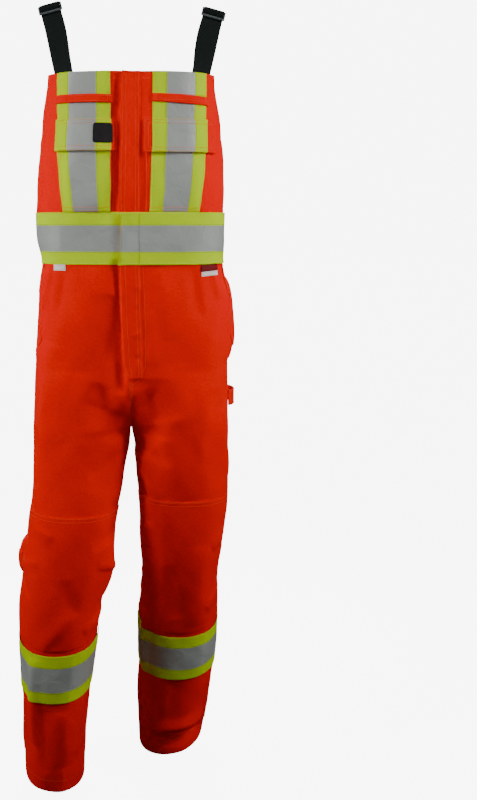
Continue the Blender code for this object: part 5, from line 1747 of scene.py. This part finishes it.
def layHammerLoop(settings):
    start, stop = settings["around"]
    heights = settings["row"] + settings["width"] * (0.5 - cutSteps(settings["width"]))
    steps = settings["steps"]
    outer, inner = [], []
    for part in np.arange(steps + 1) / steps:
        around = start + (stop - start) * part
        half, share = ("front", around) if around < 0.5 else ("back", 1 - around)
        place, facing = onSurface(half, np.full(heights.shape, share), heights)
        stand = settings["stand"] + settings["bulge"] * math.sin(math.pi * part) ** 0.7
        if part in (0, 1):
            stand = onBody + 0.0001
        if abs(part - 0.5) < 0.4:  # away from its ends the band keeps clear of the folds
            place = place * 0.4 + bodyPoint("left", np.full(heights.shape, around), heights) * 0.6
        inner.append(place + facing * stand)
        outer.append(place + facing * (stand + settings["thickness"]))
    outer, inner = np.array(outer), np.array(inner)
    drops = np.linalg.norm(np.diff(outer, axis=0), axis=2).mean(axis=1)
    long = np.concatenate([[0.0], np.cumsum(drops)])
    uv = np.stack(np.meshgrid(heights, long), axis=-1)
    piece = cutShell("hammer_loop", outer, inner, uv, ("orange",))
    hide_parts("hammer_loop")
    for column in (1, -2):
        out = (outer - inner)[:, column]
        out /= np.linalg.norm(out, axis=1, keepdims=True)
        stitchLines["orangeThread"].append((outer[:, column], out))


layHammerLoop(loopSettings)

# Seams of the panels. Each is sewn beside an edge or beside the middle, from one row to another.
seamStops = {
    "neck": bibTop - 0.003,
    "armhole": -0.386,
    "underTape": -0.502,
    "seat": (-0.510, -0.855),
    "inseam": (-0.860, -1.273),
    "lowerInseam": -1.378,
    "fly": (-0.735, -0.850),
    "aboveHem": 0.002,
    "hem": 0.027,
    "hemEnds": (0.004, 0.003),  # shares that its seam leaves free
    "neckRows": (edgeInset, 0.0130),
    "neckFront": (0.020, 0.038),
    "neckBack": 0.002,
    "pocketSeam": ((-0.1688, -0.7390), (-0.1894, -0.8245)),
}


def sewPanels(stops):
    for side, sign in sideSign.items():
        hem = hemHeight[side]
        low = hem + stops["aboveHem"]
        for inset in seamInsets:
            for half, top, foot in (
                ("front", stops["neck"], stops["armhole"]),
                ("back", stops["neck"], stops["armhole"]),
                ("front", stops["underTape"], zipTop),
                ("front", zipFoot, low),
            ):
                sew(half, edgeLine(side, half, top, foot, inset))
            for top, foot in (stops["inseam"], (stops["lowerInseam"], low)):
                sew("back", middleLine(sign, top, foot, inset))
        sew("back", middleLine(sign, *stops["seat"], seamInsets[0 if side == "right" else 1]))
        sew("front", middleLine(sign, *stops["fly"], edgeInset))
        for half in ("front", "back"):
            row = hem + stops["hem"]
            near, far = stops["hemEnds"]
            shares = np.linspace(near, sheetEdge(side, half, row) - far, 40)
            sew(half, [(acrossAt(half, side, share, row), row) for share in shares])
            inner, outer = (sign * across for across in stops["neckFront"])
            if half == "back":
                inner = sign * stops["neckBack"]
                outer = acrossAt(half, side, sheetEdge(side, half, bibTop), bibTop) - inner
            for drop in stops["neckRows"]:
                sew(half, [(inner, bibTop - drop), (outer, bibTop - drop)])
    sew("back", stops["pocketSeam"])


sewPanels(seamStops)
# Drawn wider than real 0.6 mm thread, so that the sewing shows in a view of the whole garment
threadSettings = {
    "first": 0.0005,
    "pitch": 0.0040,
    "length": 0.0032,
    "width": 0.0013,
    "height": 0.0008,
}

spindle = ((0, 2, 3), (0, 3, 4), (0, 4, 5), (0, 5, 2), (1, 3, 2), (1, 4, 3), (1, 5, 4), (1, 2, 5))


def layStitches(thread, lines, settings):
    # each stitch is a short spindle along its row, a little proud of the cloth
    starts, ends, outs = [], [], []
    for places, facings in lines:
        run = np.concatenate([[0.0], np.cumsum(np.linalg.norm(np.diff(places, axis=0), axis=1))])
        at = np.arange(settings["first"], run[-1] - settings["length"], settings["pitch"])
        for target, where, values in (
            (starts, at, places),
            (ends, at + settings["length"], places),
            (outs, at, facings),
        ):
            target.append(np.stack([np.interp(where, run, values[:, k]) for k in range(3)], axis=1))
    start, end, out = np.concatenate(starts), np.concatenate(ends), np.concatenate(outs)
    beside = np.cross(end - start, out)
    beside /= np.maximum(np.linalg.norm(beside, axis=1, keepdims=True), 1e-9)
    beside, rise = beside * settings["width"] / 2, out * settings["height"]
    middle = (start + end) / 2
    corners = (start, end, middle + beside, middle + rise, middle - beside, middle - rise * 0.5)
    index = np.arange(len(start))[:, None] * len(corners)
    faces = np.concatenate([index + np.array(face) for face in spindle])
    mesh = fillMesh(f"stitches_{thread}", np.stack(corners, axis=1).reshape(-1, 3), faces)
    mesh.shade_smooth()
    mesh.materials.append(materials[thread])
    addPiece(f"stitches_{thread}", mesh)
    print("sewing:", thread, len(start), "stitches")


for thread, lines in stitchLines.items():
    layStitches(thread, lines, threadSettings)

blockFaces = ((0, 1, 3, 2), (4, 6, 7, 5), (0, 4, 5, 1), (2, 3, 7, 6), (0, 2, 6, 4), (1, 5, 7, 3))


def layZipTeeth(settings):
    # moulded teeth in two rows that mesh, each a small block on the zip tape
    size = np.array(settings["tooth"]) / 2
    corner = np.array([(x, y, z) for x in (-1, 1) for y in (-1, 1) for z in (-1, 1)]) * size
    for side, (places, facings) in zipTeeth.items():
        along = np.gradient(places, axis=0)
        along /= np.linalg.norm(along, axis=1, keepdims=True)
        across = np.cross(along, facings)
        shift = np.where(np.arange(len(places)) % 2, 0.45, -0.45)[:, None] * settings["tooth"][0]
        points = (places + across * shift + facings * size[2])[:, None]
        for k, direction in enumerate((across, along, facings)):
            points = points + corner[None, :, k : k + 1] * direction[:, None]
        index = np.arange(len(places))[:, None, None] * len(corner)
        faces = (index + np.array(blockFaces)).reshape(-1, 4)
        mesh = fillMesh(f"zip_teeth_{side}", points.reshape(-1, 3), faces)
        mesh.shade_flat()
        mesh.materials.append(materials["zipTooth"])
        addPiece(f"zip_teeth_{side}", mesh)
        print("zip teeth:", side, len(places))


layZipTeeth(zipSettings)
# Floor, light and camera
floorSettings = {
    "size": 60.0,
    "glow": 7.5,
}


def layFloor(settings):
    low = min(hemHeight.values()) - 0.03
    mesh = bpy.data.meshes.new("floor")
    half = settings["size"] / 2
    mesh.from_pydata([(-half, -half, low), (half, -half, low), (half, half, low), (-half, half, low)],
                     [], [(0, 1, 2, 3)])
    # A white lightbox floor, lit from below
    material, shader = newMaterial("opalAcrylicFloor", "#FFFFFF", 0.95)
    shader.inputs["Emission Color"].default_value = linear("#FFFFFF")
    shader.inputs["Emission Strength"].default_value = settings["glow"]
    mesh.materials.append(material)
    floor = bpy.data.objects.new("floor", mesh)
    floor.visible_diffuse = False
    floor.visible_glossy = False
    bpy.context.scene.collection.objects.link(floor)


layFloor(floorSettings)
lightTable = (
    # name, place, aimed at, width, height, spread in degrees, watts
    ("keyLeft", (1.50, -0.85, 0.42), (0.05, -0.12, -0.52), 0.4, 0.5, 80, 5.0),
    ("keyRight", (-1.50, -0.75, 0.38), (-0.05, -0.12, -0.52), 0.4, 0.5, 80, 4.4),
    ("front", (0.00, -2.60, 0.10), (0.0, 0.0, -0.30), 0.8, 0.8, 30, 0.55),
    ("sideRight", (-1.75, -0.35, -0.80), (0.0, 0.0, -1.00), 0.4, 1.4, 150, 7.5),
    ("sideLeft", (1.75, -0.35, -0.80), (0.0, 0.0, -1.00), 0.4, 1.4, 150, 5.5),
    ("low", (-0.10, -1.60, -1.90), (0.0, 0.0, -1.45), 0.5, 0.3, 46, 0.18),
    ("back", (-0.2, 2.0, 0.6), (0.0, 0.0, -0.55), 1.2, 1.2, 120, 21.0),
)
worldSettings = {
    "seen": 7.5,
    "light": 0.04,
}


def addLights(settings):
    for name, place, aim, width, height, spread, watts in lightTable:
        lamp = bpy.data.lights.new(name, "AREA")
        lamp.shape = "RECTANGLE"
        lamp.size = width
        lamp.size_y = height
        lamp.spread = math.radians(spread)
        lamp.energy = watts
        light = bpy.data.objects.new(name, lamp)
        light.location = place
        light.rotation_euler = (Vector(aim) - Vector(place)).to_track_quat("-Z", "Y").to_euler()
        bpy.context.scene.collection.objects.link(light)
    # The studio is white to look at, but gives the cloth only a weak fill light
    world = bpy.data.worlds.new("whiteStudio")
    world.use_nodes = True
    path = addNode(world, "ShaderNodeLightPath")
    inputs = {"Value": (path, "Is Camera Ray"), "To Min": settings["light"], "To Max": settings["seen"]}
    background = world.node_tree.nodes["Background"]
    background.inputs["Color"].default_value = linear("#FFFFFF")
    join(addNode(world, "ShaderNodeMapRange", inputs), "Result", background, "Strength")
    bpy.context.scene.world = world


addLights(worldSettings)
cameraSettings = {
    "place": (0.0, -2.165, -0.423),
    "pitch": math.radians(90 - 9.64),
    "lens": 46.35,
    "shift": 0.134375,
}


def addCamera(settings):
    data = bpy.data.cameras.new("camera")
    data.sensor_width = 36.0
    data.lens = settings["lens"]
    data.shift_x = settings["shift"]
    camera = bpy.data.objects.new("camera", data)
    camera.location = settings["place"]
    camera.rotation_euler = (settings["pitch"], 0.0, 0.0)
    bpy.context.scene.collection.objects.link(camera)
    bpy.context.scene.camera = camera


addCamera(cameraSettings)
print("stage: floor, lights and camera ready")
